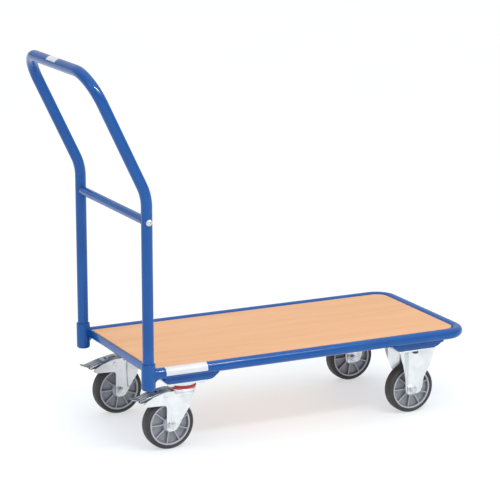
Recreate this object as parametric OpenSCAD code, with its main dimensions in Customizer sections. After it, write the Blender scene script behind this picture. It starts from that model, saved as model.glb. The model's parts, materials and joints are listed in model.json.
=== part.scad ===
// Tube-framed platform cart with a plug-in push handle, two fixed and two braked swivel casters.
// Lengths are millimetres. X runs from the push handle to the front, Y to the left, Z up.
// Each shape is drawn from the handle socket axis; placed() then centres the cart over the origin.

/* [Platform] */
// Handle socket axis to the outside of the front rail
frame_len = 875; // [800:5:1000]
// Spacing of the side rails, centre to centre
frame_w = 408; // [400:2:480]
// Outside diameter of the rail tube
rail_d = 26.9; // [26:0.1:28]
// Wall of the rail tube
rail_wall = 2; // [1.5:0.5:3]
// Height of the rail centre line above the floor
rail_z = 202; // [202:1:206]
// Centre-line radius of the front corner bends
corner_r = 46.5; // [42:0.5:70]
// Thickness of the deck board
board_t = 18; // [16:1:18]
// Deck surface below the top of the rail
board_drop = 3.45; // [3:0.05:5]

/* [Push handle] */
// Outside diameter of the handle tube
handle_d = 26.9; // [26:0.1:26.9]
// Wall of the handle tube
handle_wall = 2; // [1.5:0.5:2.5]
// Length of the leaning part, from the lean corner to the grip centre line
lean_len = 319.1; // [250:0.1:400]
// Height where the uprights start to lean back
lean_z = 630; // [600:1:700]
// Backward lean of the upper handle, degrees
lean = 25.5; // [10:0.5:35]
// Centre-line radius of the lean bend
lean_r = 115; // [80:5:150]
// Centre-line radius of the two grip corners
grip_r = 75; // [50:5:100]
// Outside diameter of the crossbar tube
crossbar_d = 21.3; // [20:0.1:24]
// Height of the crossbar
crossbar_z = 569; // [450:1:575]

/* [Handle sockets] */
// Outside diameter of the socket tube
socket_d = 33.7; // [33.7:0.1:36]
// Radial clearance of the handle tube in its socket
socket_clear = 0.2; // [0.1:0.05:0.4]
// Height of the socket mouth
socket_top = 229; // [222:1:240]
// Height of the closed socket end
socket_bottom = 165; // [164:1:170]

/* [Wheels] */
// Wheel radius
wheel_r = 62.5; // [62:0.5:63]
// Tyre width
tyre_w = 32; // [30:1:32]
// Length of the hub between the fork legs
hub_len = 39.6; // [39:0.2:39.6]
// Radial ribs on each side of the hub
rib_count = 9; // [5:1:12]

/* [Casters] */
// Distance of each wheel from the cart's centre plane
wheel_y = 156.5; // [150:0.5:158]
// Rear kingpin position along the cart
king_x = 106; // [104:1:112]
// Trail from the kingpin back to the rear axle
trail = 37; // [35:1:43]
// Fixed front axle position along the cart
front_x = 731; // [650:1:735]
// Underside of the caster bearers
bearer_z = 171; // [171:0.5:172]
// Sheet thickness of the forks
fork_t = 2.5; // [2:0.5:2.5]
// Inside width of the forks
fork_gap = 40.8; // [40.8:0.1:41]
// Pedal travel from released to locked, degrees
pedal_travel = 14; // [8:1:14]

/* [Hidden] */
$fn = 64;
bend_fn = 96;

// Colours
paint_blue = [0.20, 0.39, 0.65];
zinc = [0.85, 0.87, 0.89];
zinc_dark = [0.55, 0.57, 0.60];
beech = [0.93, 0.74, 0.56];
rubber_black = [0.14, 0.14, 0.15];
hub_grey = [0.52, 0.54, 0.57];
seal_red = [0.78, 0.16, 0.18];
label_white = [0.95, 0.95, 0.95];

// Frame
rail_r = rail_d / 2;
rail_y = frame_w / 2;
front_rail_x = frame_len - rail_r;
deck_z = rail_z + rail_r - board_drop;
board_bottom = deck_z - board_t;
sheet = 3;
cross_x = 12;
cross_leg = 25;
board_x0 = cross_x + sheet + 3;
board_x1 = frame_len - rail_d - 1.5;
board_half_w = rail_y - rail_r - 1;
board_corner = 31;
label_t = 0.2;
gusset_leg = 12;
gusset_t = 5;
touch = 0.02;

// Caster bearers: pressed pans with sloped walls
rear_bearer_x = king_x + 4;
pan_bottom_half = 57;
pan_flare = 1.02;
pan_end_y = 199;
pan_end_flare = 0.3;
pan_lip = 14;
lip_half_y = rail_y - rail_r - 2;
pan_h = board_bottom - bearer_z;
pan_wall_x = sheet * sqrt(1 + pan_flare * pan_flare);
pan_wall_y = sheet * sqrt(1 + pan_end_flare * pan_end_flare);
lip_x = pan_bottom_half + (pan_h - sheet) * pan_flare;
lip_screw_x = lip_x + 8;
lip_screw_y = 110;

// Board lugs along the side rails and at the front rail
side_lug_x = [300, 540];
front_lug_y = 110;
lug_reach = 26;
lug_w = 34;

// Handle
handle_r = handle_d / 2;
socket_bore_r = handle_r + socket_clear;
socket_floor = socket_bottom + 6;
lean_t = round(lean_r * tan(lean / 2) * 100) / 100;
grip_x = -lean_len * sin(lean);
grip_z = lean_z + lean_len * cos(lean);
ring_gap = 0.02;
ring_len = 6;
x_mid = (frame_len + grip_x - handle_r) / 2;
crossbar_wall = 2;
plug_len = 26;
m8_r = 4;
m8_hole_r = 4.2;
washer_t = 1.6;

// Wheel
axle_z = wheel_r;
rear_axle_x = king_x - trail;
rim_r = 49;
rim_edge_r = 51.5;
rim_half_w = 15.5;
hub_r = 18;
bearing_r = 14;
bearing_bore_r = 6.04;
bearing_w = 8;
sleeve_r = 6;
m10_r = 5;
m10_hole_r = 5.1;

// Caster plates, 80 x 60 bolt pattern
plate_x = 105;
plate_y = 85;
bolt_dx = 40;
bolt_dy = 30;
mid_bolt_dy = 31;
wing_x = 14;
wing_run = 23;
swivel_plate_t = 5;
fixed_plate_t = 4;
fork_out = fork_gap / 2 + fork_t;

// Swivel head, heights above the floor
crown_top = 150;
crown_r = 34;
bridge_top = 145;
dome_bottom = 157.5;
dome_r = 35;
ball_r = 3.6;
ball_pitch_r = 24;
ball_count = 16;
king_r = 6;
king_clear = 0.06;
low_ball_r = 2.2;
low_ball_pitch_r = 12;
king_collar_r = 17;
king_collar_top = bridge_top - 4 - 2 * low_ball_r + 1;

// Brake pedal, seen from the side
pivot_x = 55.4;
pivot_z = 133;
rivet_r = 3;
pedal_half_w = 19.6;
pedal_t = 2.2;
pedal_root = [69.5, 149];
pedal_knee = [30, 143];
pedal_tip = [-10, 130.5];
tongue_tip = [-27, 135];
tongue_half_w = 12;
shoe_half_w = 14;

// ---------- helpers ----------

// Centres the cart over the origin.
module placed() translate([-x_mid, 0, 0]) children();

// Puts a piece on the left (1) or, mirrored, on the right (-1).
module on_side(s) mirror([0, s < 0 ? 1 : 0, 0]) children();

// Turns a shape drawn along Z to lie along +Y.
module along_y() rotate([-90, 0, 0]) children();

// Extrudes an outline drawn in X and Z, from y0 to y1.
module side_cut(y0, y1) translate([0, y1, 0]) rotate([90, 0, 0]) linear_extrude(y1 - y0) children();

module tube(d, wall, len)
    difference() {
        cylinder(d = d, h = len);
        translate([0, 0, -1]) cylinder(d = d - 2 * wall, h = len + 2);
    }

// A tube bend that starts at the origin along +Z and turns towards +X.
module bend(d, wall, r, angle)
    translate([r, 0, 0]) rotate([0, 0, 180]) rotate([90, 0, 0])
        rotate_extrude(angle = angle, $fn = bend_fn)
            translate([r, 0]) difference() {
                circle(d = d);
                circle(d = d - 2 * wall);
            }

// The space taken by both side rails and the front rail, a hair larger.
module rail_space() {
    r = rail_r + touch;
    for (s = [-1, 1])
        translate([0, s * rail_y, rail_z]) rotate([0, 90, 0]) cylinder(r = r, h = frame_len - 60);
    translate([front_rail_x, -rail_y + 60, rail_z]) along_y() cylinder(r = r, h = frame_w - 120);
}

module hex_head(across_flats, h) cylinder(d = across_flats / cos(30), h = h, $fn = 6);

// ---------- frame ----------

module rim_rail() {
    straight = front_rail_x - corner_r;
    color(paint_blue) placed() difference() {
        union() {
            for (s = [-1, 1]) translate([0, s * rail_y, rail_z]) {
                rotate([0, 90, 0]) tube(rail_d, rail_wall, straight);
                translate([straight, 0, 0]) rotate([90 * s, 0, 0]) rotate([0, 90, 0]) rotate([0, 0, 180])
                    bend(rail_d, rail_wall, corner_r, 90);
            }
            translate([front_rail_x, -rail_y + corner_r, rail_z]) along_y()
                tube(rail_d, rail_wall, frame_w - 2 * corner_r);
        }
        for (s = [-1, 1]) translate([0, s * rail_y, 0])
            cylinder(r = socket_d / 2 + touch, h = 300);
    }
}

// Angle bar at the handle end; the board's end rests on its lower leg.
module rear_cross_rail() {
    bottom = board_bottom - sheet;
    color(paint_blue) placed() difference() {
        translate([0, rail_y, 0]) rotate([90, 0, 0]) linear_extrude(frame_w) union() {
            translate([cross_x, bottom + sheet]) square([sheet, deck_z - bottom - sheet]);
            translate([cross_x + sheet, bottom]) square([cross_leg - sheet, sheet]);
            intersection() {
                translate([cross_x + sheet, bottom + sheet]) circle(r = sheet);
                translate([cross_x, bottom]) square(sheet);
            }
        }
        rail_space();
        for (s = [-1, 1]) {
            translate([cross_x - 1, s > 0 ? rail_y - rail_r : -rail_y - 1, 150]) cube([60, rail_r + 1, 100]);
            translate([cross_x + 15, s * lip_screw_y, 150]) cylinder(r = 2.7, h = 100);
        }
    }
}

// Socket tube with a closed, rounded lower end, and a small gusset under the rail that meets it.
module handle_socket() {
    r = socket_d / 2;
    top = rail_z - rail_r - touch;
    side_cut(rail_y - gusset_t / 2, rail_y + gusset_t / 2) polygon([[r - 1, top], [r + gusset_leg, top],
        [r + 5.5, top - 1.8], [r + 1.8, top - 5.5], [r, top - gusset_leg], [r - 1, top - gusset_leg]]);
    translate([0, rail_y, 0]) rotate_extrude() polygon([[0, socket_bottom], [r - 5, socket_bottom],
        [r - 1.5, socket_bottom + 1.5], [r, socket_bottom + 5], [r, socket_top], [socket_bore_r, socket_top],
        [socket_bore_r, socket_floor], [0, socket_floor]]);
}
module handle_socket_left() color(paint_blue) placed() handle_socket();
module handle_socket_right() color(paint_blue) placed() on_side(-1) handle_socket();

// Pan block: outside when inset is 0, inside when inset is 1.
module pan_block(inset) {
    z = inset * sheet;
    bx = pan_bottom_half - inset * (pan_wall_x - sheet * pan_flare);
    by = pan_end_y - inset * (pan_wall_y - sheet * pan_end_flare);
    top = pan_h + inset;
    intersection() {
        side_cut(-260, 260) polygon([[-bx, z], [bx, z],
            [bx + (top - z) * pan_flare, top], [-bx - (top - z) * pan_flare, top]]);
        translate([-150, 0, 0]) rotate([90, 0, 90]) linear_extrude(300) polygon([[-by, z], [by, z],
            [by + (top - z) * pan_end_flare, top], [-by - (top - z) * pan_end_flare, top]]);
    }
}

// Pressed bearer pan across the cart; lips lists the sides that carry the board.
// The caster plates stand plate_dx along from its middle.
module caster_bearer(x, lips, plate_dx = 0) {
    difference() {
        translate([x, 0, bearer_z]) difference() {
            union() {
                pan_block(0);
                for (side = lips) translate([side > 0 ? lip_x - 4 : -lip_x - pan_lip,
                    -lip_half_y, pan_h - sheet]) cube([pan_lip + 4, 2 * lip_half_y, sheet]);
            }
            pan_block(1);
            for (s = [-1, 1], dx = [-1, 1], dy = [-1, 1])
                translate([plate_dx + dx * bolt_dx, s * wheel_y + dy * bolt_dy, -1])
                    cylinder(r = m8_hole_r, h = 8);
            for (s = [-1, 1]) translate([plate_dx, s * wheel_y, -1]) cylinder(r = 13, h = 8);
            if (len(lips) == 2) for (s = [-1, 1])
                translate([0, s * (wheel_y + mid_bolt_dy), -1]) cylinder(r = m8_hole_r, h = 8);
            for (side = lips, s = [-1, 1])
                translate([side * lip_screw_x, s * lip_screw_y, 0]) cylinder(r = 2.7, h = 60);
        }
        rail_space();
        if (len(lips) == 1)
            translate([x - 150, -260, board_bottom - sheet]) cube([90, 520, 20]);
    }
}
module rear_caster_bearer()
    color(paint_blue) placed() caster_bearer(rear_bearer_x, [1], king_x - rear_bearer_x);
module front_caster_bearer() color(paint_blue) placed() caster_bearer(front_x, [-1, 1]);

// Flat lugs welded inside the rails to carry the board.
module board_lugs() {
    z = board_bottom - sheet;
    color(paint_blue) placed() difference() {
        union() {
            for (x = side_lug_x, s = [-1, 1])
                translate([x - lug_w / 2, s > 0 ? rail_y - rail_r - 18 : -rail_y, z])
                    cube([lug_w, rail_r + 18, sheet]);
            for (s = [-1, 1])
                translate([front_rail_x - rail_r - lug_reach + 8, s * front_lug_y - lug_w / 2, z])
                    cube([lug_reach + 4, lug_w, sheet]);
        }
        rail_space();
        for (p = lug_screws()) translate([p[0], p[1], z - 1]) cylinder(r = 2.7, h = 5);
    }
}

// ---------- deck ----------

function lug_screws() = concat(
    [for (x = side_lug_x, s = [-1, 1]) [x, s * (rail_y - rail_r - 9)]],
    [for (s = [-1, 1]) [front_rail_x - rail_r - 10, s * front_lug_y]]);
function screw_points() = concat(lug_screws(),
    [for (s = [-1, 1]) [cross_x + 15, s * lip_screw_y]],
    [for (s = [-1, 1]) [rear_bearer_x + lip_screw_x, s * lip_screw_y]],
    [for (side = [-1, 1], s = [-1, 1]) [front_x + side * lip_screw_x, s * lip_screw_y]]);

module deck_board() {
    c = board_corner;
    w = board_half_w;
    color(beech) placed() difference() {
        translate([0, 0, board_bottom]) linear_extrude(board_t) union() {
            translate([board_x0, -w]) square([board_x1 - c - board_x0, 2 * w]);
            translate([board_x1 - c - 1, -w + c]) square([c + 1, 2 * w - 2 * c]);
            for (s = [-1, 1]) translate([board_x1 - c, s * (w - c)]) circle(r = c);
        }
        for (p = screw_points())
            translate([p[0], p[1], board_bottom - 1]) cylinder(r = 2.54, h = 13.5);
    }
}

// Pan-head wood screws driven up into the board.
module board_screws()
    color(zinc) placed() for (p = screw_points()) translate([p[0], p[1], board_bottom - sheet]) {
        cylinder(r = 2.5, h = sheet + 12);
        translate([0, 0, -3]) cylinder(r = 4.7, h = 3);
    }

// Blank plate wrapped round the outside of the right rail.
module rating_label()
    color(label_white) placed() translate([41, -rail_y, rail_z]) rotate([0, 90, 0])
        rotate([0, 0, 160]) rotate_extrude(angle = 130)
            translate([rail_r, 0]) square([label_t, 107]);

// ---------- casters ----------

// Plate bolts: four at each caster plate, put in from below, and one in the middle of each fixed
// plate's outer edge, put in from above. Each is drawn from the face its head sits on.
module at_plate_bolts() placed() {
    for (x = [king_x, front_x], s = [-1, 1], dx = [-1, 1], dy = [-1, 1])
        translate([x + dx * bolt_dx, s * wheel_y + dy * bolt_dy,
            bearer_z - (x == king_x ? swivel_plate_t : fixed_plate_t)])
                children(x == king_x ? 0 : 1);
    for (s = [-1, 1]) translate([front_x, s * (wheel_y + mid_bolt_dy), bearer_z + sheet])
        mirror([0, 0, 1]) children(1);
}

// Bolt and nut that clamp the bearer sheet to a plate of thickness t.
module plate_bolt(t) {
    translate([0, 0, -5.3]) hex_head(13, 5.3);
    translate([0, 0, -1]) cylinder(r = m8_r, h = t + sheet + 10.5);
}
module plate_nut(t)
    translate([0, 0, t + sheet]) difference() {
        union() {
            cylinder(r = 8, h = washer_t);
            translate([0, 0, washer_t]) hex_head(13, 6.5);
        }
        translate([0, 0, -1]) cylinder(r = m8_r + touch, h = 12);
    }

module caster_bolts() color(zinc) at_plate_bolts() {
    plate_bolt(swivel_plate_t);
    plate_bolt(fixed_plate_t);
}
module caster_nuts() color(zinc) at_plate_bolts() {
    plate_nut(swivel_plate_t);
    plate_nut(fixed_plate_t);
}

// A pressed top plate with corners of radius c and four bolt holes.
module top_plate(t, c) {
    linear_extrude(t) difference() {
        union() {
            square([plate_x - 2 * c, plate_y], center = true);
            square([plate_x, plate_y - 2 * c], center = true);
            for (sx = [-1, 1], sy = [-1, 1])
                translate([sx * (plate_x / 2 - c), sy * (plate_y / 2 - c)]) circle(r = c);
        }
        for (sx = [-1, 1], sy = [-1, 1]) translate([sx * bolt_dx, sy * bolt_dy]) circle(r = m8_hole_r);
    }
}

// Swivel caster plate: the flat plate and the dome that holds the upper race.
module swivel_plate() {
    plate_bottom = bearer_z - swivel_plate_t;
    translate([king_x, wheel_y, 0]) difference() {
        union() {
            translate([0, 0, plate_bottom]) top_plate(swivel_plate_t, 8);
            rotate_extrude() polygon([[0, dome_bottom], [dome_r - 1.5, dome_bottom],
                [dome_r, dome_bottom + 1.5], [dome_r - 2, plate_bottom + 0.5], [0, plate_bottom + 0.5]]);
        }
        translate([0, 0, 100]) cylinder(r = king_r + touch, h = 100);
        translate([0, 0, bearer_z - 3]) cylinder(r1 = king_r + touch, r2 = king_r + touch + 5, h = 5);
        rotate_extrude() translate([ball_pitch_r, ball_z()]) circle(r = ball_r + 0.05);
    }
}
function ball_z() = (crown_top + dome_bottom) / 2;
module swivel_plate_left() color(zinc) placed() swivel_plate();
module swivel_plate_right() color(zinc) placed() on_side(-1) swivel_plate();

// Riveted kingpin: countersunk head in the plate, collar under the fork crown.
module king_pin() {
    collar_bottom = king_collar_top - 5;
    translate([king_x, wheel_y, 0]) difference() {
        rotate_extrude() polygon([[0, collar_bottom - 4], [8, collar_bottom - 4],
            [9, collar_bottom], [king_collar_r - 2, collar_bottom],
            [king_collar_r, collar_bottom + 2], [king_collar_r, king_collar_top],
            [king_r, king_collar_top], [king_r, bearer_z - 3 - touch],
            [king_r + 3 - touch, bearer_z - touch], [0, bearer_z - touch]]);
        rotate_extrude() translate([low_ball_pitch_r, low_ball_z()]) circle(r = low_ball_r + 0.05);
    }
}
function low_ball_z() = bridge_top - 4 - low_ball_r + 0.5;
module king_pin_left() color(zinc_dark) placed() king_pin();
module king_pin_right() color(zinc_dark) placed() on_side(-1) king_pin();

// Balls of the upper and lower swivel races.
module race_balls() {
    translate([king_x, wheel_y, 0]) {
        for (i = [0 : ball_count - 1]) rotate([0, 0, i * 360 / ball_count])
            translate([ball_pitch_r, 0, ball_z()]) sphere(r = ball_r, $fn = 24);
        for (i = [0 : ball_count - 1]) rotate([0, 0, i * 360 / ball_count])
            translate([low_ball_pitch_r, 0, low_ball_z()]) sphere(r = low_ball_r, $fn = 24);
    }
}
module race_balls_left() color(zinc) placed() race_balls();
module race_balls_right() color(zinc) placed() on_side(-1) race_balls();

// Ring that seals the swivel race.
module seal_ring()
    translate([king_x, wheel_y, crown_top]) rotate_extrude() polygon([[ball_pitch_r + 4.5, touch],
        [crown_r - 0.5, touch], [crown_r + 1, 2], [crown_r + 1, 5], [crown_r - 0.5, 7],
        [ball_pitch_r + 4.5, 7]]);
module seal_ring_left() color(seal_red) placed() seal_ring();
module seal_ring_right() color(seal_red) placed() on_side(-1) seal_ring();

// U section of a pressed fork, extruded along X; top is the outside of its bridge.
module fork_channel(x0, x1, top, t_top) {
    r = 7;
    translate([x0, 0, 0]) rotate([90, 0, 90]) linear_extrude(x1 - x0) difference() {
        union() {
            translate([-fork_out, 30]) square([2 * fork_out, top - r - 30]);
            translate([-fork_out + r, 30]) square([2 * (fork_out - r), top - 30]);
            for (s = [-1, 1]) translate([s * (fork_out - r), top - r]) circle(r = r);
        }
        translate([-fork_gap / 2, 20]) square([fork_gap, top - r - 20]);
        translate([-fork_out + r, 20]) square([2 * (fork_out - r), top - t_top - 20]);
        for (s = [-1, 1]) translate([s * (fork_out - r), top - r])
            circle(r = r - fork_t);
    }
}

// Side outline of the swivel fork, with the arm that guards the pedal.
module swivel_fork_outline() {
    a = rear_axle_x;
    polygon([[a - 12, 53], [a - 9, 49], [a - 5, 47], [a + 7, 47], [a + 13, 50], [a + 18, 57],
        [a + 48, 102], [a + 55, 127], [a + 59.5, 138], [a + 64, bridge_top + 1],
        [58, bridge_top + 1], [45, 143], [24, 137], [3, 126], [-2, 122], [-1, 119], [8, 114.5],
        [a - 17, 113], [a - 13, 110.5], [a - 11.5, 106]]);
}

module swivel_fork() {
    bridge_x0 = 78;
    translate([0, wheel_y, 0]) difference() {
        union() {
            difference() {
                intersection() {
                    fork_channel(-10, king_x + 30, bridge_top, 4);
                    side_cut(-40, 40) swivel_fork_outline();
                }
                translate([-20, -fork_gap / 2, 100]) cube([bridge_x0 + 20, fork_gap, 60]);
            }
            translate([king_x, 0, bridge_top - 4]) cylinder(r = crown_r, h = crown_top - bridge_top + 4);
        }
        translate([king_x, 0, 100]) cylinder(r = king_r + king_clear, h = 100);
        translate([king_x, 0, 0]) {
            rotate_extrude() translate([ball_pitch_r, ball_z()]) circle(r = ball_r + 0.05);
            rotate_extrude() translate([low_ball_pitch_r, low_ball_z()]) circle(r = low_ball_r + 0.05);
        }
        translate([rear_axle_x, -40, axle_z]) along_y() cylinder(r = m10_hole_r, h = 80);
        translate([pivot_x, -40, pivot_z]) along_y() cylinder(r = rivet_r + touch, h = 80);
    }
}
module swivel_fork_left() color(zinc) placed() swivel_fork();
module swivel_fork_right() color(zinc) placed() on_side(-1) swivel_fork();

// Plan of one leg of the fixed fork: a middle panel and two wings that lean out to the plate's edge.
module fixed_leg_plan() {
    out = plate_y / 2 - 0.7;
    rise = out - fork_out;
    inset = fork_t * (norm([rise, wing_run]) - wing_run) / rise;
    a = wing_x;
    b = wing_x + wing_run;
    polygon([[-52, out], [-b, out], [-a, fork_out], [a, fork_out], [b, out], [52, out],
        [52, out - fork_t], [b + inset, out - fork_t], [a + inset, fork_out - fork_t],
        [-a - inset, fork_out - fork_t], [-b - inset, out - fork_t], [-52, out - fork_t]]);
}

// Fixed front fork: top plate with two tapered legs.
module fixed_fork() {
    top = bearer_z - fixed_plate_t;
    translate([front_x, wheel_y, 0]) difference() {
        union() {
            translate([0, 0, top]) top_plate(fixed_plate_t, 5);
            intersection() {
                for (s = [-1, 1]) on_side(s)
                    translate([0, 0, 40]) linear_extrude(top - 39) fixed_leg_plan();
                side_cut(-60, 60) for (s = [0, 1]) mirror([s, 0])
                    polygon([[-1, 51], [14, 51], [19, 57], [22.5, 70], [24.5, 92], [33, 118],
                        [43, 144], [50, top + 1], [-1, top + 1]]);
            }
        }
        translate([0, -60, axle_z]) along_y() cylinder(r = m10_hole_r, h = 120);
        for (s = [-1, 1]) translate([0, s * mid_bolt_dy, top - 1]) cylinder(r = m8_hole_r, h = 8);
    }
}
module fixed_fork_left() color(zinc) placed() fixed_fork();
module fixed_fork_right() color(zinc) placed() on_side(-1) fixed_fork();

// Axle bolt, head on the outside, through both fork legs and the sleeve.
module axle_bolt(x) translate([x, wheel_y, axle_z]) along_y() {
    translate([0, 0, fork_out]) cylinder(r = 9.5, h = washer_t);
    translate([0, 0, fork_out + washer_t]) hex_head(16, 6.4);
    translate([0, 0, -fork_out - 11]) cylinder(r = m10_r, h = 2 * fork_out + 12);
}
module axle_nut(x) translate([x, wheel_y, axle_z]) along_y() translate([0, 0, -fork_out]) difference() {
    translate([0, 0, -washer_t - 8]) {
        hex_head(16, 8);
        translate([0, 0, 8]) cylinder(r = 9.5, h = washer_t);
    }
    translate([0, 0, -12]) cylinder(r = m10_r + touch, h = 14);
}
module fixed_axle_bolts() color(zinc) placed() for (s = [-1, 1]) on_side(s) axle_bolt(front_x);
module fixed_axle_nuts() color(zinc) placed() for (s = [-1, 1]) on_side(s) axle_nut(front_x);
module swivel_axle_bolt_left() color(zinc) placed() axle_bolt(rear_axle_x);
module swivel_axle_bolt_right() color(zinc) placed() on_side(-1) axle_bolt(rear_axle_x);
module swivel_axle_nut_left() color(zinc) placed() axle_nut(rear_axle_x);
module swivel_axle_nut_right() color(zinc) placed() on_side(-1) axle_nut(rear_axle_x);

// ---------- brake ----------

// Rivet across the fork that the pedal turns on.
module pedal_rivet() translate([pivot_x, wheel_y, pivot_z]) along_y() {
    translate([0, 0, -fork_out - 2]) cylinder(r = rivet_r, h = 2 * fork_out + 4);
    for (s = [-1, 1]) translate([0, 0, s * (fork_out + 1) - 1]) cylinder(r = 5, h = 2);
}
module pedal_rivet_left() color(zinc_dark) placed() pedal_rivet();
module pedal_rivet_right() color(zinc_dark) placed() on_side(-1) pedal_rivet();

// Sheet line between two side-view points, pedal_t thick below them.
module pedal_strip(a, b)
    polygon([a, b, b - [0, pedal_t], a - [0, pedal_t]]);

// Pressed pedal: stepped tread with ribs and a slot, two side flanges and a narrow end tongue.
module brake_pedal() {
    w = pedal_half_w;
    translate([0, wheel_y, 0]) difference() {
        union() {
            side_cut(-w, w) polygon([pedal_root, pedal_knee, pedal_tip, pedal_tip - [0, pedal_t],
                pedal_knee - [0, pedal_t], pedal_root - [0, pedal_t]]);
            side_cut(-tongue_half_w, tongue_half_w) pedal_strip(pedal_tip + [1, 0.3], tongue_tip);
            for (y = [-w, w - pedal_t]) side_cut(y, y + pedal_t) union() {
                polygon([pedal_root, pedal_knee, pedal_tip, pedal_tip - [-2, 5],
                    [20, 127], [pivot_x - 7.5, pivot_z - 3], [pivot_x + 7.5, pivot_z - 3], pedal_root]);
                translate([pivot_x, pivot_z]) circle(r = 8);
            }
            for (y = [-9, 0, 9]) side_cut(y - 1.5, y + 1.5) polygon([pedal_knee + [-4, -1.5],
                pedal_tip + [3, 0.5], pedal_tip + [4, 2.4], pedal_knee + [-6, 0.4]]);
            side_cut(-11, 11) polygon([pedal_root - [3, 1], pedal_root - [6, -1], pedal_knee + [10, 3.4],
                pedal_knee + [6, 0]]);
        }
        translate([pedal_knee[0] + 6, -8, 120]) cube([4.5, 16, 40]);
        translate([pivot_x, -40, pivot_z]) along_y() cylinder(r = rivet_r + 0.06, h = 80);
    }
}
module brake_pedal_left() color(zinc_dark) placed() brake_pedal();
module brake_pedal_right() color(zinc_dark) placed() on_side(-1) brake_pedal();

// Brake block under the pedal; its face meets the tyre when the pedal is down.
module brake_shoe() {
    translate([0, wheel_y, 0]) difference() {
        side_cut(-shoe_half_w, shoe_half_w) polygon([[24, 118], [50, 118], [50, 140], [34, 140], [27, 134]]);
        translate([pivot_x, -40, pivot_z]) rotate([0, pedal_travel, 0])
            translate([rear_axle_x - pivot_x, 0, axle_z - pivot_z]) along_y()
                cylinder(r = wheel_r + 0.4, h = 80, $fn = 128);
        side_cut(-30, 30) polygon([pedal_root + [0, 20], pedal_knee + [0, 20], pedal_tip + [0, 20],
            pedal_tip - [0, pedal_t + touch], pedal_knee - [0, pedal_t + touch],
            pedal_root - [0, pedal_t + touch]]);
        translate([pivot_x, -40, pivot_z]) along_y() cylinder(r = 6.5, h = 80);
    }
}
module brake_shoe_left() color(rubber_black) placed() brake_shoe();
module brake_shoe_right() color(rubber_black) placed() on_side(-1) brake_shoe();

// ---------- wheels, drawn with the axle along Z ----------

module at_wheel(x, s) placed() on_side(s) translate([x, wheel_y, axle_z]) along_y() children();

// Moulded hub: rim, web, ribs and a boss with a bearing seat at each end.
module wheel_hub() {
    web = 5;
    rib = 3;
    rib_top = 14;
    ring_r = 46.5;
    color(hub_grey) difference() {
        union() {
            rotate_extrude($fn = bend_fn) polygon([[ring_r, -rim_half_w], [rim_edge_r, -rim_half_w],
                [rim_edge_r, -rim_half_w + 3], [rim_r, -rim_half_w + 3.6], [rim_r, rim_half_w - 3.6],
                [rim_edge_r, rim_half_w - 3], [rim_edge_r, rim_half_w], [ring_r, rim_half_w]]);
            cylinder(r = ring_r + 1, h = 2 * web, center = true);
            cylinder(r = hub_r, h = hub_len, center = true);
            for (i = [0 : rib_count - 1]) rotate([0, 0, i * 360 / rib_count])
                translate([hub_r - 2, -rib / 2, -rib_top]) cube([ring_r - hub_r + 3, rib, 2 * rib_top]);
        }
        cylinder(r = 10, h = 60, center = true);
        for (s = [-1, 1]) translate([0, 0, s * (hub_len / 2 - bearing_w / 2)])
            cylinder(r = bearing_r, h = bearing_w + touch, center = true);
    }
}

module tyre() {
    half = tyre_w / 2;
    r = 6;
    color(rubber_black) rotate_extrude($fn = bend_fn) difference() {
        union() {
            translate([rim_r, -half]) square([wheel_r - r - rim_r, tyre_w]);
            translate([rim_r, -half + r]) square([wheel_r - rim_r, tyre_w - 2 * r]);
            for (s = [-1, 1]) translate([wheel_r - r, s * (half - r)]) circle(r = r);
        }
        for (s = [-1, 1]) translate([0, s * (rim_half_w + 1)]) square([2 * rim_edge_r, 8], center = true);
        polygon([[rim_r - 1, -rim_half_w + 3.6], [rim_r, -rim_half_w + 3.6],
            [rim_edge_r, -rim_half_w + 3], [rim_edge_r, -20], [rim_r - 1, -20]]);
        polygon([[rim_r - 1, rim_half_w - 3.6], [rim_r, rim_half_w - 3.6],
            [rim_edge_r, rim_half_w - 3], [rim_edge_r, 20], [rim_r - 1, 20]]);
    }
}

// Two sealed ball bearings: outer ring, shields and inner ring, each one solid.
module bearings()
    color(zinc) for (s = [-1, 1]) translate([0, 0, s * (hub_len - bearing_w) / 2])
        rotate_extrude() translate([0, -bearing_w / 2]) polygon([[bearing_bore_r, 0], [8.2, 0],
            [8.2, 0.8], [11.6, 0.8], [11.6, 0], [bearing_r, 0], [bearing_r, bearing_w],
            [11.6, bearing_w], [11.6, bearing_w - 0.8], [8.2, bearing_w - 0.8], [8.2, bearing_w],
            [bearing_bore_r, bearing_w]]);

// Spacer sleeve clamped between the fork legs; the bearings run on it.
module axle_sleeve()
    color(zinc_dark) difference() {
        cylinder(r = sleeve_r, h = fork_gap - 2 * touch, center = true);
        cylinder(r = m10_r + 0.05, h = 60, center = true);
    }

module wheel_hub_rear_left() at_wheel(rear_axle_x, 1) wheel_hub();
module wheel_hub_rear_right() at_wheel(rear_axle_x, -1) wheel_hub();
module wheel_hub_front_left() at_wheel(front_x, 1) wheel_hub();
module wheel_hub_front_right() at_wheel(front_x, -1) wheel_hub();
module tyre_rear_left() at_wheel(rear_axle_x, 1) tyre();
module tyre_rear_right() at_wheel(rear_axle_x, -1) tyre();
module tyre_front_left() at_wheel(front_x, 1) tyre();
module tyre_front_right() at_wheel(front_x, -1) tyre();
module bearings_rear_left() at_wheel(rear_axle_x, 1) bearings();
module bearings_rear_right() at_wheel(rear_axle_x, -1) bearings();
module bearings_front_left() at_wheel(front_x, 1) bearings();
module bearings_front_right() at_wheel(front_x, -1) bearings();
module axle_sleeve_rear_left() at_wheel(rear_axle_x, 1) axle_sleeve();
module axle_sleeve_rear_right() at_wheel(rear_axle_x, -1) axle_sleeve();
module axle_sleeve_front_left() at_wheel(front_x, 1) axle_sleeve();
module axle_sleeve_front_right() at_wheel(front_x, -1) axle_sleeve();

// ---------- push handle ----------

// Local +Z follows the leaning part of the handle from the lean corner.
module lean_frame() translate([0, 0, lean_z]) rotate([0, -lean, 0]) children();

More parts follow.
